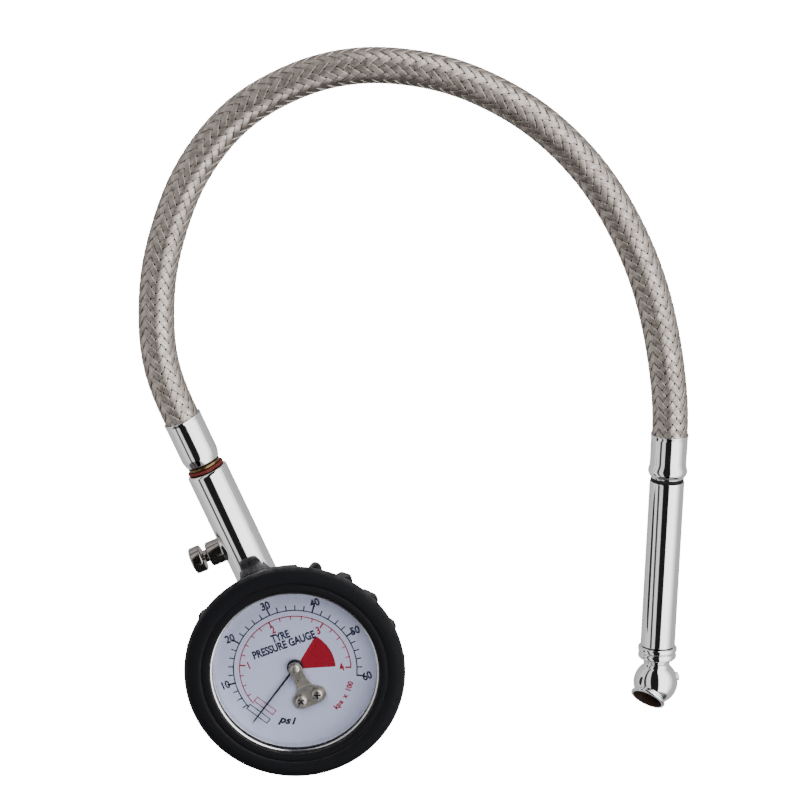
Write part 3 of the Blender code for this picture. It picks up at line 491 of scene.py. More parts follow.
def settle(made):
    """Turns an object's modifiers into its mesh."""
    bpy.context.view_layer.update()
    shaped = made.evaluated_get(bpy.context.evaluated_depsgraph_get())
    old = made.data
    made.data = bpy.data.meshes.new_from_object(shaped)
    made.modifiers.clear()
    bpy.data.meshes.remove(old)
    return made


def boolean(target, other, operation, sharp=40):
    modifier = target.modifiers.new(operation, "BOOLEAN")
    modifier.operation = operation
    modifier.object = other
    modifier.material_mode = "TRANSFER"
    settle(target)
    bpy.data.objects.remove(other)
    target.data.shade_smooth()
    target.data.set_sharp_from_angle(angle=math.radians(sharp))
    return target


def merged(name, objects):
    """One object from several meshes that keep their materials."""
    bpy.ops.object.select_all(action="DESELECT")
    for item in objects:
        item.select_set(True)
    bpy.context.view_layer.objects.active = objects[0]
    bpy.ops.object.join()
    objects[0].name = name
    return objects[0]


def show(piece, body, slot, *nodes):
    """Puts a finished piece on its body, in place of the CAD nodes that it stands for."""
    if nodes:
        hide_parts(*nodes)
    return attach(piece, body)


# ---------------------------------------------------------------- camera


def picture_axes():
    """The picture's right, the picture's up and the way to the camera, as directions in the frame."""
    roll, tilt = math.radians(CAMERA_ROLL), math.radians(CAMERA_TILT)
    right = Vector((math.cos(roll), -math.sin(roll), 0.0))
    away = Vector((math.sin(roll), math.cos(roll), 0.0))
    above = Vector((0, 0, 1))
    up = away * math.cos(tilt) - above * math.sin(tilt)
    toward = away * math.sin(tilt) + above * math.cos(tilt)
    return right, up, toward


def make_camera():
    right, up, toward = picture_axes()
    data = bpy.data.cameras.new("camera")
    data.lens = CAMERA_LENS
    data.clip_start = 0.05
    camera = bpy.data.objects.new("camera", data)
    bpy.context.scene.collection.objects.link(camera)
    turn = Matrix((right, up, toward)).transposed().to_4x4()
    camera.matrix_world = Matrix.Translation((Vector(CAMERA_AIM) + toward * CAMERA_DISTANCE) * MM) @ turn
    bpy.context.scene.camera = camera


# ---------------------------------------------------------------- hose


def clamped_spline(points, start_direction, end_direction, count):
    """Evenly spaced points on a cubic through the route that leaves and arrives along given directions."""
    route = np.array(points, float)
    knots = np.concatenate([[0.0], np.cumsum(np.linalg.norm(np.diff(route, axis=0), axis=1))])
    gaps = np.diff(knots)
    size = len(route)
    matrix = np.zeros((size, size))
    wanted = np.zeros((size, 3))
    slopes = np.diff(route, axis=0) / gaps[:, None]
    matrix[0, :2] = (2 * gaps[0], gaps[0])
    wanted[0] = 6 * (slopes[0] - np.array(start_direction))
    matrix[-1, -2:] = (gaps[-1], 2 * gaps[-1])
    wanted[-1] = 6 * (np.array(end_direction) - slopes[-1])
    for i in range(1, size - 1):
        matrix[i, i - 1 : i + 2] = (gaps[i - 1], 2 * (gaps[i - 1] + gaps[i]), gaps[i])
        wanted[i] = 6 * (slopes[i] - slopes[i - 1])
    bends = np.linalg.solve(matrix, wanted)
    places = np.linspace(0, knots[-1], count + 1)
    i = np.clip(np.searchsorted(knots, places, "right") - 1, 0, size - 2)
    after, before, gap = (knots[i + 1] - places)[:, None], (places - knots[i])[:, None], gaps[i][:, None]
    spots = (bends[i] * after**3 + bends[i + 1] * before**3) / (6 * gap)
    spots += (route[i] / gap - bends[i] * gap / 6) * after
    spots += (route[i + 1] / gap - bends[i + 1] * gap / 6) * before
    return spots


class Centreline:
    """The hose's middle line with a frame that doesn't twist, read by distance along it."""

    def __init__(self):
        along = np.array(CHUCK_ALONG)
        last = np.array(CHUCK_START) - along * CLEARANCE
        spots = clamped_spline((*HOSE_ROUTE, tuple(last)), (0, 1, 0), tuple(along), 600)
        spots = np.vstack([spots[0] - (0, HOSE_INSET, 0), spots, spots[-1] + along * HOSE_INSET])
        self.spots = spots
        self.run = np.concatenate([[0.0], np.cumsum(np.linalg.norm(np.diff(spots, axis=0), axis=1))])
        tangents = np.gradient(spots, self.run, axis=0)
        self.tangents = tangents / np.linalg.norm(tangents, axis=1)[:, None]
        side = np.array((0.0, 0.0, 1.0))
        sides = []
        for tangent in self.tangents:
            side = side - tangent * side.dot(tangent)
            side = side / np.linalg.norm(side)
            sides.append(side)
        self.sides = np.array(sides)

    def length(self):
        return self.run[-1]

    def around(self, distance, turn, radius):
        """Points at that distance along the line, turn about it and radius from it, all arrays."""

        def read(values):
            return np.stack([np.interp(distance, self.run, values[:, k]) for k in range(3)], axis=-1)

        tangent, side = read(self.tangents), read(self.sides)
        across = np.cross(tangent, side)
        out = side * np.cos(turn)[..., None] + across * np.sin(turn)[..., None]
        return read(self.spots) + out * radius[..., None]


def strand_section():
    """A flat bundle's cross-section as (across, height) points: a row of round wires on a flat back."""
    peaks = 2 * WIRES_PER_STRAND
    top = []
    for k in range(peaks + 1):
        across = (k / peaks - 0.5) * STRAND_WIDTH
        top.append((across, STRAND_THICKNESS / 2 * (1.0 if k % 2 else 0.35)))
    return [*top, (STRAND_WIDTH / 2, -STRAND_THICKNESS / 2), (-STRAND_WIDTH / 2, -STRAND_THICKNESS / 2)]


def tube_faces(rows, around, start):
    """Quads of a tube of that many rows of points, with both ends closed."""
    faces = []
    for row in range(rows - 1):
        low, high = start + row * around, start + (row + 1) * around
        for k in range(around):
            after = (k + 1) % around
            faces.append((low + k, low + after, high + after, high + k))
    last = start + (rows - 1) * around
    faces.append(tuple(range(start + around - 1, start - 1, -1)))
    faces.append(tuple(range(last, last + around)))
    return faces


def make_strands(name, line, way):
    """All strands that wind one way: each passes over two strands of the other way, then under two."""
    crossings = line.length() * 2 * STRANDS_EACH_WAY / BRAID_PITCH
    rows = int(crossings * SAMPLES_PER_CROSSING)
    distance = np.linspace(0, line.length(), rows)
    section = np.array(strand_section())
    slant = math.atan(2 * math.pi * BRAID_RADIUS / BRAID_PITCH)
    points, faces = [], []
    for strand in range(STRANDS_EACH_WAY):
        turn = 2 * math.pi * (strand / STRANDS_EACH_WAY + way * distance / BRAID_PITCH)
        phase = 2 * strand + way * 2 * STRANDS_EACH_WAY * distance / BRAID_PITCH
        wave = way * np.cos(math.pi / 2 * (phase - 0.5))
        lift = np.tanh(1.5 * wave) / math.tanh(1.5) * WEAVE_HEIGHT
        across, height = section[:, 0][None, :], section[:, 1][None, :]
        radius = BRAID_RADIUS + lift[:, None] + height
        reach = np.clip(distance[:, None] - way * across * math.sin(slant), 0, line.length())
        turns = turn[:, None] + across * math.cos(slant) / BRAID_RADIUS
        faces += tube_faces(rows, len(section), len(points) * rows * len(section))
        points.append(line.around(reach, turns, radius).reshape(-1, 3))
    mesh = bpy.data.meshes.new(name)
    mesh.from_pydata((np.vstack(points) * MM).tolist(), [], faces)
    mesh.materials.append(LOOKS["braid"])
    mesh.shade_smooth()
    mesh.set_sharp_from_angle(angle=math.radians(75))
    made = bpy.data.objects.new(name, mesh)
    bpy.context.scene.collection.objects.link(made)
    return made


def make_core(line):
    """The rubber hose inside the braid."""
    rows, around = 240, 32
    distance = np.repeat(np.linspace(0, line.length(), rows)[:, None], around, axis=1)
    turn = np.repeat(np.linspace(0, 2 * math.pi, around, endpoint=False)[None, :], rows, axis=0)
    spots = line.around(distance, turn, np.full((rows, around), CORE_RADIUS)).reshape(-1, 3)
    return mesh_of("hose_core", spots.tolist(), tube_faces(rows, around, 0), "core")


def make_hose():
    line = Centreline()
    core = make_core(line)
    braids = [make_strands("braid_right_hand", line, 1), make_strands("braid_left_hand", line, -1)]
    show(core, "gauge", "braid", "hose")
    for braid in braids:
        show(braid, "gauge", "braid", "hose")
    return core, braids, line


# ---------------------------------------------------------------- boot, bezel, lens


def smooth_step(share):
    share = min(max(share, 0.0), 1.0)
    return share * share * (3 - 2 * share)


def proud_at(angle):
    """How far the boot stands out at a dial angle: 0 on the plain wall and 1 at a nub's crest."""
    angle = (angle + 180) % 360 - 180
    edge = (PAD_HALF_ANGLE - abs(angle)) / (PAD_HALF_ANGLE - PAD_EDGE_ANGLE)
    if edge > 0:
        return PAD_SHARE * smooth_step(edge)
    nub = round(angle / NUB_PITCH_ANGLE)
    off = abs(angle - nub * NUB_PITCH_ANGLE) / NUB_HALF_ANGLE
    if abs(nub) < 2 or off >= 1.25:
        return 0.0
    # A rounded crest, with a flare that runs out into the wall
    return math.sqrt(1 - off * off) if off < 0.86 else 0.51 * smooth_step((1.25 - off) / 0.39)


def boot_outline():
    """Points (radius, height, share of a nub), from the back's centre over the outside to the inside."""
    foot = softened(((22.6, 0.0), (24.3, 0.1), (25.2, 1.8), (25.6, 3.1)), 1.2)
    wall = []
    for height in np.linspace(3.4, 20.9, 28):
        radius = np.interp(height, (3.1, 6.5, 16.5, 20.4), (25.6, 26.6, 29.8, 30.3))
        share = smooth_step((height - 3.0) / 2.5) * smooth_step((21.0 - height) / 1.2)
        wall.append((float(radius), float(height), share))
    ring = (
        (BOOT_RADIUS - 1.9, 21.5),
        (BOOT_RADIUS - 0.4, 22.6),
        (BOOT_RADIUS, 23.6),
        (BOOT_RADIUS, 24.6),
        (BOOT_RADIUS - 0.9, 25.7),
        (BOOT_RADIUS - 2.6, BOOT_HEIGHT),
        (28.3, BOOT_HEIGHT),
        (27.75, 25.95),
        (27.45, 25.55),
        (27.1, 25.85),
        (26.1, 25.95),
        (25.1, 25.8),
        (24.85, 25.35),
        (27.9, 25.35),
        (27.9, 15.5),
        (25.3, 6.5),
        (23.9, BOOT_FLOOR),
    )
    bare = [(radius, height, 0.0) for radius, height in foot]
    return bare + wall + [(radius, height, 0.0) for radius, height in softened(ring, 1.0, steps=5)]


def make_boot():
    outline = boot_outline()
    vertices = []
    for column in range(BOOT_COLUMNS):
        angle = 360 * column / BOOT_COLUMNS
        proud = proud_at(angle)
        for radius, height, share in outline:
            spot = bearing(angle, radius + share * proud * NUB_HEIGHT)
            vertices.append((spot.x, spot.y, height))
    rows = len(outline)
    back, floor = len(vertices), len(vertices) + 1
    vertices += [(0, 0, 0), (0, 0, BOOT_FLOOR)]
    faces = []
    for column in range(BOOT_COLUMNS):
        here, there = column * rows, (column + 1) % BOOT_COLUMNS * rows
        faces.append((back, here, there))
        faces.append((floor, here + rows - 1, there + rows - 1))
        for k in range(rows - 1):
            faces.append((here + k, here + k + 1, there + k + 1, there + k))
    boot = mesh_of("boot_shell", vertices, faces, "boot", 50)
    edge = STEM_RADIUS + CLEARANCE
    hole = lathe("stem_hole", ((0, 20), (edge, 20), (edge, 40), (0, 40)), STEM_AXIS, "boot", 0, 64)
    show(boolean(boot, hole, "DIFFERENCE", 50), "gauge", "boot_rubber", "rubber_boot")


def make_window():
    bezel = (
        (24.2, 24.3),
        (26.75, 24.3),
        (26.75, 18.0),
        (27.5, 18.0),
        (27.5, 24.6),
        (27.1, 25.0),
        (24.55, 25.0),
        (24.2, 24.65),
    )
    show(lathe("bezel", bezel, UPRIGHT, "bezel", 0.22, 240), "gauge", "chrome", "bezel_ring")
    lens = ((0, 22.7), (26.3, 22.7), (26.3, 24.0), (0, 24.0))
    show(lathe("window_lens", lens, UPRIGHT, "lens", 0.12, 200), "gauge", "clear_lens", "clear_lens")
    reflector = washer("case_rim", 24.0, 25.5, 19.4, 22.6, UPRIGHT, "bezel", 0.1, 200)
    show(reflector, "gauge", "steel")


# ---------------------------------------------------------------- dial print


def sweep_band(inner, outer, first, last):
    """Outline of a band between two radii and two dial angles."""
    steps = max(2, int(abs(last - first) / 1.5))
    angles = np.linspace(first, last, steps + 1)
    return [bearing(a, inner) for a in angles] + [bearing(a, outer) for a in reversed(angles)]


def stroke(start, end, width):
    """Outline of a straight line of that width."""
    across = (end - start).normalized()
    across = Vector((-across.y, across.x)) * width / 2
    return [start - across, end - across, end + across, start + across]


def printed(outlines, name, look):
    """Thin raised patches on the dial's face, joined into one piece."""
    parts = []
    for index, outline in enumerate(outlines):
        flat = [(spot.x, spot.y) for spot in outline]
        parts.append(prism(f"{name}_{index}", flat, DIAL_TOP - 0.02, DIAL_TOP + PRINT_HEIGHT, look))
    return merged(name, parts)


def lettering(text, height, place, turn, look, squeeze=0.8, weight=0.05, slant=0.0):
    """Generic words or figures in Blender's own font, centred on a place and turned clockwise by degrees."""
    curve = bpy.data.curves.new(f"text_{text}", "FONT")
    curve.body = text
    curve.align_x = "CENTER"
    curve.align_y = "CENTER"
    curve.size = height / CAPITAL_SHARE
    curve.shear = slant
    curve.offset = weight
    curve.extrude = PRINT_HEIGHT / 2
    curve.resolution_u = 4
    curve.materials.append(LOOKS[look])
    letters = bpy.data.objects.new(f"text_{text}", curve)
    bpy.context.scene.collection.objects.link(letters)
    spin = Matrix.Rotation(-math.radians(turn), 4, "Z")
    size = Matrix.Diagonal((squeeze, 1.0, 1.0, 1.0))
    letters.matrix_world = (
        Matrix.Scale(MM, 4)
        @ Matrix.Translation((place.x, place.y, DIAL_TOP + PRINT_HEIGHT / 2))
        @ spin
        @ size
    )
    bpy.context.view_layer.update()
    shaped = letters.evaluated_get(bpy.context.evaluated_depsgraph_get())
    mesh = bpy.data.meshes.new_from_object(shaped)
    mesh.transform(letters.matrix_world)
    solid = bpy.data.objects.new(f"letters_{text}", mesh)
    bpy.context.scene.collection.objects.link(solid)
    bpy.data.objects.remove(letters)
    return solid


def arched(text, height, middle, radius, step, look, **style):
    """Letters along an arc with their feet outward, so that they read from the dial's lower edge."""
    parts = []
    for index, letter in enumerate(text):
        if letter == " ":
            continue
        angle = middle - (index - (len(text) - 1) / 2) * step
        parts.append(lettering(letter, height, bearing(angle, radius), angle + 180, look, **style))
    return parts


def zero_box(low, high, half, line):
    """Outlines of the four strokes of a zero mark, square to the pointer's rest direction."""
    out = bearing(PSI_ZERO + 2)
    side = Vector((-out.y, out.x))
    near, far, across = out * low, out * high, side * half
    corners = [near - across, near + across, far + across, far - across]
    strokes = []
    for one, two in zip(corners, corners[1:] + corners[:1]):
        way = (two - one).normalized() * line / 2
        strokes.append(stroke(one - way, two + way, line))
    return strokes


def psi_marks():
    marks = [sweep_band(PSI_ARC - 0.17, PSI_ARC + 0.17, PSI_ZERO + 13, PSI_ZERO + 240.3)]
    for pressure in range(4, 61, 2):
        angle = PSI_ZERO + DEGREES_PER_PSI * pressure
        major = pressure % 10 == 0
        reach, width = (2.4, 0.5) if major else (1.6, 0.34)
        marks.append(stroke(bearing(angle, PSI_ARC), bearing(angle, PSI_ARC + reach), width))
    return marks + zero_box(16.95, 18.6, 3.75, 0.27)


def kpa_marks():
    marks = [sweep_band(KPA_ARC - 0.15, KPA_ARC + 0.15, PSI_ZERO + 13, PSI_ZERO + 232.2)]
    for fifth in range(2, 21):
        angle = PSI_ZERO + DEGREES_PER_BAR * fifth / 5
        major = fifth % 5 == 0
        reach, width = (1.7, 0.44) if major else (1.15, 0.28)
        marks.append(stroke(bearing(angle, KPA_ARC - reach), bearing(angle, KPA_ARC), width))
    wedge = [Vector((0, 0))]
    wedge += [bearing(angle, 11.9) for angle in np.linspace(PSI_ZERO + 174, PSI_ZERO + 230, 40)]
    return marks + zero_box(13.8, 15.4, 3.45, 0.25) + [wedge]


def make_dial():
    dial = washer("dial_face", 1.5, 25.0, 18.6, DIAL_TOP, UPRIGHT, "dial", 0.08, 240)
    show(dial, "gauge", "dial_white", "dial_plate")
    black = [printed(psi_marks(), "psi_scale", "black_ink")]
    for pressure in range(10, 70, 10):
        place = bearing(PSI_ZERO + DEGREES_PER_PSI * pressure, 21.3)
        black.append(lettering(str(pressure), 2.35, place, 3, "black_ink", 0.86, 0.1))
    black.append(lettering("TYRE", 2.4, Vector((0.15, 10.9)), 3.3, "black_ink", 0.72, 0.12))
    black.append(lettering("PRESSURE GAUGE", 2.4, Vector((0.0, 8.1)), 3.3, "black_ink", 0.735, 0.12))
    black += arched("psi", 2.3, -148.0, 16.3, 5.6, "black_ink", squeeze=1.1, weight=0.13, slant=0.25)
    red = [printed(kpa_marks(), "kpa_scale", "red_ink")]
    for hundreds in range(1, 5):
        place = bearing(PSI_ZERO + DEGREES_PER_BAR * hundreds, 13.7)
        red.append(lettering(str(hundreds), 2.3, place, 3, "red_ink", 0.8, 0.09))
    red += arched("kpa x 100", 1.6, 144.0, 16.9, 3.7, "red_ink", squeeze=0.95, weight=0.08)
    sheets = (("dial_print_black", black, "pointer_black"), ("dial_print_red", red, "red_rubber"))
    for name, parts, slot in sheets:
        sheet = merged(name, parts)
        sheet.data.transform(Matrix.Translation(Vector((*PRINT_CENTRE, 0.0)) * MM))
        show(sheet, "gauge", slot)


# ---------------------------------------------------------------- pointer and bridge


def make_pointer():
    hub = ((0.8, 19.5), (2.4, 19.5), (2.4, 20.5), (0.8, 20.5))
    show(lathe("pointer_hub", hub, UPRIGHT, "pointer", 0.12, 72), "pointer", "pointer_black", "pointer")
    needle = [(-0.34, 1.4), (0.34, 1.4), (0.22, 20.4), (0.0, 22.0), (-0.22, 20.4)]
    spin = Matrix.Rotation(-math.radians(POINTER_REST_ANGLE), 4, "Z")
    blade = prism("pointer_needle", needle, 19.9, 20.2, "pointer", spin, 0.06)
    show(blade, "pointer", "pointer_black")


def bridge_sections():
    """(y, half width, underside) along the bridge: a foot under two screws, a bend, and a round-ended arm."""
    arm = 1.95
    widths = ((-12.9, 2.6), (-12.6, 3.7), (-12.0, 4.7), (-11.2, 5.2), (-9.6, 5.25), (-8.6, 4.75), (-7.8, 3.6))
    widths += ((-7.0, 2.6), (-6.0, 2.15), (-4.2, 2.0), (0.0, arm))
    rows = []
    for y in np.concatenate([np.linspace(-12.9, -0.2, 74), arm * np.sin(np.linspace(0, math.pi / 2, 14))]):
        half = float(np.interp(y, *zip(*widths))) if y <= 0 else math.sqrt(max(arm**2 - y * y, 1e-4))
        rise = smooth_step((y + 6.6) / 2.4)
        rows.append((float(y), half, 19.4 + 1.4 * rise))
    return rows


def make_bridge():
    vertices = []
    thick, edge = 0.6, 0.12
    sections = bridge_sections()
    for y, half, low in sections:
        inner = max(half - edge, half * 0.5)
        high = low + thick
        ring = ((-inner, low), (inner, low), (half, low + edge), (half, high - edge))
        ring += ((inner, high), (-inner, high), (-half, high - edge), (-half, low + edge))
        vertices += [(x, y, z) for x, z in ring]
    faces = tube_faces(len(sections), 8, 0)
    bridge = mesh_of("bridge_plate", vertices, faces, "nickel", 32)
    show(bridge, "gauge", "steel", "pointer_bridge")
    rivet = ((0, 20.9), (0.75, 20.9), (0.75, 21.45), (1.4, 21.6), (1.35, 21.95), (0.95, 22.2), (0, 22.35))
    show(lathe("bridge_rivet", rivet, UPRIGHT, "nickel", 0.15, 64), "gauge", "steel", "bridge_bush")


def make_screw(index, place, turn):
    head = (
        (0, 16.9),
        (0.9, 16.9),
        (0.9, 20.3),
        (1.65, 20.3),
        (1.65, 20.95),
        (1.25, 21.3),
        (0.0, 21.4),
    )
    here = Matrix.Translation((*place, 0))
    screw = lathe(f"cross_screw_{index}", head, here, "nickel", 0.14, 64)
    for extra in (0, 90):
        spin = here @ Matrix.Rotation(math.radians(turn + extra), 4, "Z")
        outline = [(-1.1, -0.24), (1.1, -0.24), (1.1, 0.24), (-1.1, 0.24)]
        # The cut walls take the cutter's near-black hose rubber: painted shade in the cross slots.
        boolean(screw, prism("slot", outline, 20.7, 23.0, "core", spin), "DIFFERENCE")
    show(screw, "gauge", "steel", f"bridge_screw_{index}")


# ---------------------------------------------------------------- stem, bleed valve, gauge end of the hose


def make_stem():
    profile = (
        (1.5, 18.8),
        (3.0, 18.8),
        (3.0, STEM_START),
        (STEM_RADIUS, STEM_START),
        (STEM_RADIUS, STEM_END - 0.6),
        (STEM_RADIUS - 0.5, STEM_END),
        (3.3, STEM_END),
        (3.3, 55.6),
        (2.6, 55.6),
        (2.6, 46.3),
        (1.5, 46.3),
    )
    stem = lathe("stem_body", profile, STEM_AXIS, "chrome", 0.25, 160)
    pad = ((0, 3.6), (4.3, 3.6), (4.3, 5.7), (0, 5.7))
    boolean(stem, lathe("pad", pad, BLEED_AXIS, "chrome", 0.2, 96), "UNION")
    port = ((0, -0.6), (2.25, -0.6), (2.25, 8.0), (0, 8.0))
    boolean(stem, lathe("port", port, BLEED_AXIS, "chrome", 0, 64), "DIFFERENCE")
    show(stem, "gauge", "chrome", "stem")


def make_bleed_valve():
    bush = ((1.15, 4.3), (1.9, 4.3), (1.9, 5.8), (3.7, 5.8), (3.7, 10.0))
    bush += ((3.4, 10.3), (2.5, 10.3), (2.5, 7.4), (1.15, 7.4))
    show(lathe("bleed_bushing", bush, BLEED_AXIS, "knob", 0.18), "gauge", "chrome", "bleed_bush")
    pin = ((0, 2.0), (1.6, 2.0), (1.6, 2.8), (0.85, 2.8), (0.85, 10.6))
    pin += ((1.85, 10.6), (1.85, 11.6), (0.85, 11.6), (0.85, 14.6), (0, 14.6))
    plunger = lathe("bleed_plunger", pin, BLEED_AXIS, "knob", 0.1, 64)
    show(plunger, "bleed_button", "dark_nickel", "bleed_pin")
    knob = ((0, 14.9), (1.15, 14.9), (1.15, 12.1), (3.7, 12.1))
    knob += ((4.0, 12.4), (4.0, 15.2), (3.5, 15.6), (0, 15.8))
    cap = lathe("bleed_button_cap", knob, BLEED_AXIS, "knob", 0.3)
    show(cap, "bleed_button", "dark_nickel", "bleed_knob")


def coil(name, radius, wire, low, high, turns, matrix, look):
    """A round wire wound about the matrix's +Z."""
    rows, around = 26 * turns, 10
    vertices = []
    for row in range(rows):
        share = row / (rows - 1)
        turn = 2 * math.pi * turns * share
        height = low + wire + (high - low - 2 * wire) * share
        for k in range(around):
            angle = 2 * math.pi * k / around
            out = radius + wire * math.cos(angle)
            vertices.append((out * math.cos(turn), out * math.sin(turn), height + wire * math.sin(angle)))
    return mesh_of(name, vertices, tube_faces(rows, around, 0), look, 80, matrix)


def make_springs():
    bleed = coil("bleed_coil_spring", 1.75, 0.2, BLEED_SPRING_FOOT, 10.4, 3, BLEED_AXIS, "steel")
    show(bleed, "gauge", "steel", "bleed_spring")
    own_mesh(bleed)
    check = coil("check_coil_spring", 1.45, 0.2, CHECK_SPRING_FOOT, 51.3, 4, STEM_AXIS, "steel")
    show(check, "gauge", "steel", "check_spring")
    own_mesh(check)


def make_gauge_end():
    seal = ((3.35, 63.7), (5.4, 63.7), (5.6, 64.1), (5.4, 64.5), (3.35, 64.5))
    show(lathe("red_washer", seal, STEM_AXIS, "red", 0.3), "gauge", "red_rubber", "red_seal_ring")
    nipple = ((1.0, 55.9), (3.0, 55.9), (3.0, 64.8), (4.9, 64.8))
    nipple += ((4.9, 65.5), (2.0, 65.5), (2.0, 79.2), (1.0, 79.2))
    show(lathe("nipple_flange", nipple, STEM_AXIS, "flange", 0.1), "gauge", "brass", "gauge_nipple")
    ferrule = (
        (2.35, FERRULE_START),
        (4.7, FERRULE_START),
        (5.15, FERRULE_START + 0.35),
        (5.6, FERRULE_START + 2.2),
        (5.65, FERRULE_START + 3.4),
        (5.65, FERRULE_END - 1.0),
        (5.8, FERRULE_END),
        (5.3, FERRULE_END),
        (4.75, FERRULE_END - 1.2),
        (4.75, FERRULE_START + 1.1),
        (2.35, FERRULE_START + 1.1),
    )
    show(lathe("hose_ferrule", ferrule, STEM_AXIS, "chrome", 0.5, 160), "gauge", "chrome", "gauge_ferrule")


# ---------------------------------------------------------------- chuck


def make_far_fitting():
    ferrule = (
        (2.4, 13.2),
        (2.4, 11.9),
        (4.75, 11.9),
        (4.75, 1.2),
        (5.3, 0.0),
        (5.65, 0.0),
        (5.45, 1.0),
        (5.4, 9.0),
        (5.5, 9.9),
        (5.8, 10.8),
        (5.8, 11.6),
        (5.45, 12.4),
        (5.0, 12.8),
        (5.0, 13.2),
    )
    made = [lathe("far_ferrule", ferrule, CHUCK_AXIS, "chrome", 0.55, 160)]
    show(made[0], "gauge", "chrome", "chuck_ferrule")
    made.append(washer("swivel_ring", 2.5, 4.95, 13.3, 14.2, CHUCK_AXIS, "seal", 0.3))
    show(made[1], "gauge", "black_rubber", "swivel_o_ring")
    return made


def make_chuck_tube():
    profile = ((2.4, TUBE_START), (TUBE_RADIUS - 0.2, TUBE_START), (TUBE_RADIUS, TUBE_START + 0.2))
    profile += ((TUBE_RADIUS, TUBE_END), (4.1, TUBE_END), (4.1, 19.2), (2.4, 19.2))
    tube = lathe("chuck_barrel", profile, CHUCK_AXIS, "chrome", 0.2, 160)
    return show(tube, "chuck", "chrome", "chuck_tube")


def ball_profile():
    """Neck, two rings with a groove between them, and the ball, as one turned outline."""
    start = math.pi - math.asin(3.95 / BALL_RADIUS)
    ball = []
    for angle in np.linspace(start, 0, 49)[:-1]:
        ball.append((BALL_RADIUS * math.sin(angle), BALL_CENTRE + BALL_RADIUS * math.cos(angle)))
    collar = ((0, 57.0), (3.7, 57.0), (3.7, 65.5), (5.3, 65.5), (5.8, 65.85), (5.8, 66.9), (5.35, 67.25))
    collar += ((5.35, 67.7), (5.7, 68.05), (5.7, 68.9), (5.1, 69.45), (4.2, 70.0), (3.88, 70.7))
    return [*softened([*collar, ball[0]], 0.28, steps=5), *ball[1:], (0, BALL_CENTRE + BALL_RADIUS)]


def make_ball_chuck():
    head = lathe("ball_head", ball_profile(), CHUCK_AXIS, "chrome", 0, 160, 50)
    lip = ((0, 0), (4.5, 0), (4.62, 4.6), (4.8, 5.0), (5.4, 5.3), (5.4, 5.8), (5.2, 6.1), (0, 6.1))
    boolean(head, lathe("lip", lip, MOUTH_AXIS, "chrome", 0.22, 128), "UNION", 50)
    bore = ((0, -1.5), (4.1, -1.5), (4.1, 5.5), (4.6, 6.1), (4.6, 9.0), (0, 9.0))
    boolean(head, lathe("bore", bore, MOUTH_AXIS, "mouth", 0.0, 96), "DIFFERENCE", 50)
    passage = ((0, 55.0), (1.4, 55.0), (1.4, BALL_CENTRE - 1.0), (0, BALL_CENTRE - 1.0))
    boolean(head, lathe("passage", passage, CHUCK_AXIS, "chrome", 0, 48), "DIFFERENCE", 50)
    return show(head, "chuck", "chrome", "ball_chuck")


def make_mouth_parts():
    seal = washer("mouth_gasket", 1.3, 4.0, -0.3, 1.7, MOUTH_AXIS, "mouth", 0.35, 72)
    show(seal, "chuck", "black_rubber", "mouth_seal")
    pin = ((0, -1.2), (3.7, -1.2), (3.7, -0.5), (0.75, -0.5), (0.75, 1.8), (0.5, 2.05), (0, 2.1))
    depressor = lathe("depressor_pin", pin, MOUTH_AXIS, "brass", 0.15, 64)
    show(depressor, "chuck", "brass", "valve_depressor")
    plug = ((0, 5.5), (1.0, 5.5), (1.0, 6.4), (1.4, 6.5), (1.3, 6.95), (0.9, 7.2), (0, 7.3))
    cap = show(lathe("ball_cap", plug, PLUG_AXIS, "chrome", 0.25, 64), "chuck", "chrome", "ball_plug")
    return [seal, depressor, cap]


# ---------------------------------------------------------------- parts carried over


def finish_cad_parts():
    """Gives each CAD part that still shows a finished material."""
    looks = {
        "steel": ("steel_case", "tip_link", "pinion_staff"),
        "seal": ("lens_gasket", "bleed_seal", "gauge_liner_tail", "chuck_liner_tail"),
        "bronze": ("hairspring", "bourdon_tube"),
        "brass": ("gear_sector", "back_plate", "front_plate", "plate_pillar", "hairspring_stud"),
    }
    looks["brass"] += ("bourdon_tip", "socket_block", "check_seat", "check_poppet", "swivel_nipple")
    for look, names in looks.items():
        for name in names:
            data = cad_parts[name].data
            data.materials.clear()
            data.materials.append(LOOKS[look])


# ---------------------------------------------------------------- studio


def make_floor():
    """A wide pale floor that glows a little, so that it photographs as a white sweep with a faint shadow."""
    look = Look("pale_floor", (0.85, 0.85, 0.85), 0.8)
    look.shader.inputs["Emission Color"].default_value = (1.0, 1.0, 1.0, 1.0)
    look.shader.inputs["Emission Strength"].default_value = FLOOR_GLOW
    half = FLOOR_HALF_WIDTH * MM
    mesh = bpy.data.meshes.new("floor")
    corners = [(-half, -half, 0), (half, -half, 0), (half, half, 0), (-half, half, 0)]
    mesh.from_pydata(corners, [], [(0, 1, 2, 3)])
    mesh.materials.append(look.material)
    floor = bpy.data.objects.new("floor", mesh)
    bpy.context.scene.collection.objects.link(floor)
    floor.visible_glossy = False
    floor.visible_diffuse = False


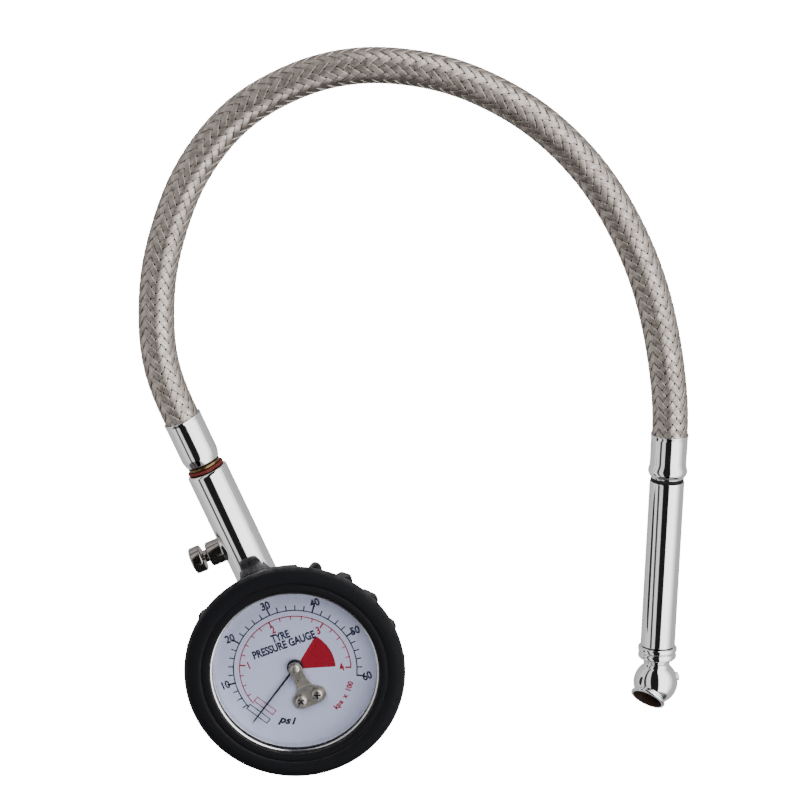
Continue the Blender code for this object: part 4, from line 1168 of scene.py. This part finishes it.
def make_world():
    """What the chrome mirrors: pale walls and black cards round the picture's upright axis, darker below."""
    right, up, toward = picture_axes()
    world = bpy.data.worlds.new("studio")
    world.use_nodes = True
    bpy.context.scene.world = world
    nodes, links = world.node_tree.nodes, world.node_tree.links
    place = nodes.new("ShaderNodeTexCoord").outputs["Generated"]
    across, above, ahead = (
        wired(nodes, links, "ShaderNodeVectorMath", "DOT_PRODUCT", place, way).outputs["Value"]
        for way in (right, up, toward)
    )
    turn = wired(nodes, links, "ShaderNodeMath", "ARCTAN2", across, ahead).outputs["Value"]
    share = nodes.new("ShaderNodeMapRange")
    share.inputs["From Min"].default_value = -math.pi
    share.inputs["From Max"].default_value = math.pi
    links.new(turn, share.inputs["Value"])
    ramp = nodes.new("ShaderNodeValToRGB")
    while len(ramp.color_ramp.elements) < len(WALLS):
        ramp.color_ramp.elements.new(0.5)
    for element, (degrees, value) in zip(ramp.color_ramp.elements, WALLS):
        element.position = (degrees + 180) / 360
        element.color = (value, value, value * 1.01, 1.0)
    links.new(share.outputs["Result"], ramp.inputs["Fac"])
    low = nodes.new("ShaderNodeMapRange")
    low.interpolation_type = "SMOOTHSTEP"
    for socket, value in zip(("From Min", "From Max", "To Min", "To Max"), LOW_SHADE):
        low.inputs[socket].default_value = value
    links.new(above, low.inputs["Value"])
    diffuse = nodes.new("ShaderNodeLightPath").outputs["Is Diffuse Ray"]
    level = nodes.new("ShaderNodeMapRange")
    level.inputs["To Min"].default_value = MIRROR_LEVEL
    level.inputs["To Max"].default_value = WALL_LIGHT
    links.new(diffuse, level.inputs["Value"])
    shares = low.outputs["Result"], level.outputs["Result"]
    strength = wired(nodes, links, "ShaderNodeMath", "MULTIPLY", *shares)
    background = nodes["Background"]
    links.new(strength.outputs["Value"], background.inputs["Strength"])
    links.new(ramp.outputs["Color"], background.inputs["Color"])


def make_lamp(name, right_share, up_share, toward_share, size, power):
    """A soft square lamp that lights surfaces and isn't mirrored in the chrome."""
    right, up, toward = picture_axes()
    place = (right * right_share + up * up_share + toward * toward_share) * LAMP_REACH + Vector(CAMERA_AIM)
    data = bpy.data.lights.new(name, "AREA")
    data.shape = "SQUARE"
    data.size = size
    data.energy = power
    lamp = bpy.data.objects.new(name, data)
    bpy.context.scene.collection.objects.link(lamp)
    lamp.location = place * MM
    lamp.rotation_mode = "QUATERNION"
    lamp.rotation_quaternion = (Vector(CAMERA_AIM) - place).to_track_quat("-Z", "Y")
    lamp.visible_glossy = False


def make_studio():
    make_floor()
    make_world()
    make_lamp("key_lamp", -0.5, 0.75, 1.0, 0.9, 14.0)
    make_lamp("fill_lamp", 0.7, -0.3, 1.2, 1.6, 9.0)


# ---------------------------------------------------------------- whole scene


def main():
    make_camera()
    core, braids, line = make_hose()
    make_boot()
    make_window()
    make_dial()
    make_pointer()
    make_bridge()
    for index, (place, turn) in enumerate(zip(SCREW_PLACES, (20, 65)), 1):
        make_screw(index, place, turn)
    make_stem()
    make_bleed_valve()
    make_springs()
    make_gauge_end()
    fittings = [*make_far_fitting(), make_chuck_tube(), make_ball_chuck(), *make_mouth_parts()]
    finish_cad_parts()
    fittings += [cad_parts[name] for name in ("chuck_liner_tail", "swivel_nipple")]
    make_studio()


main()
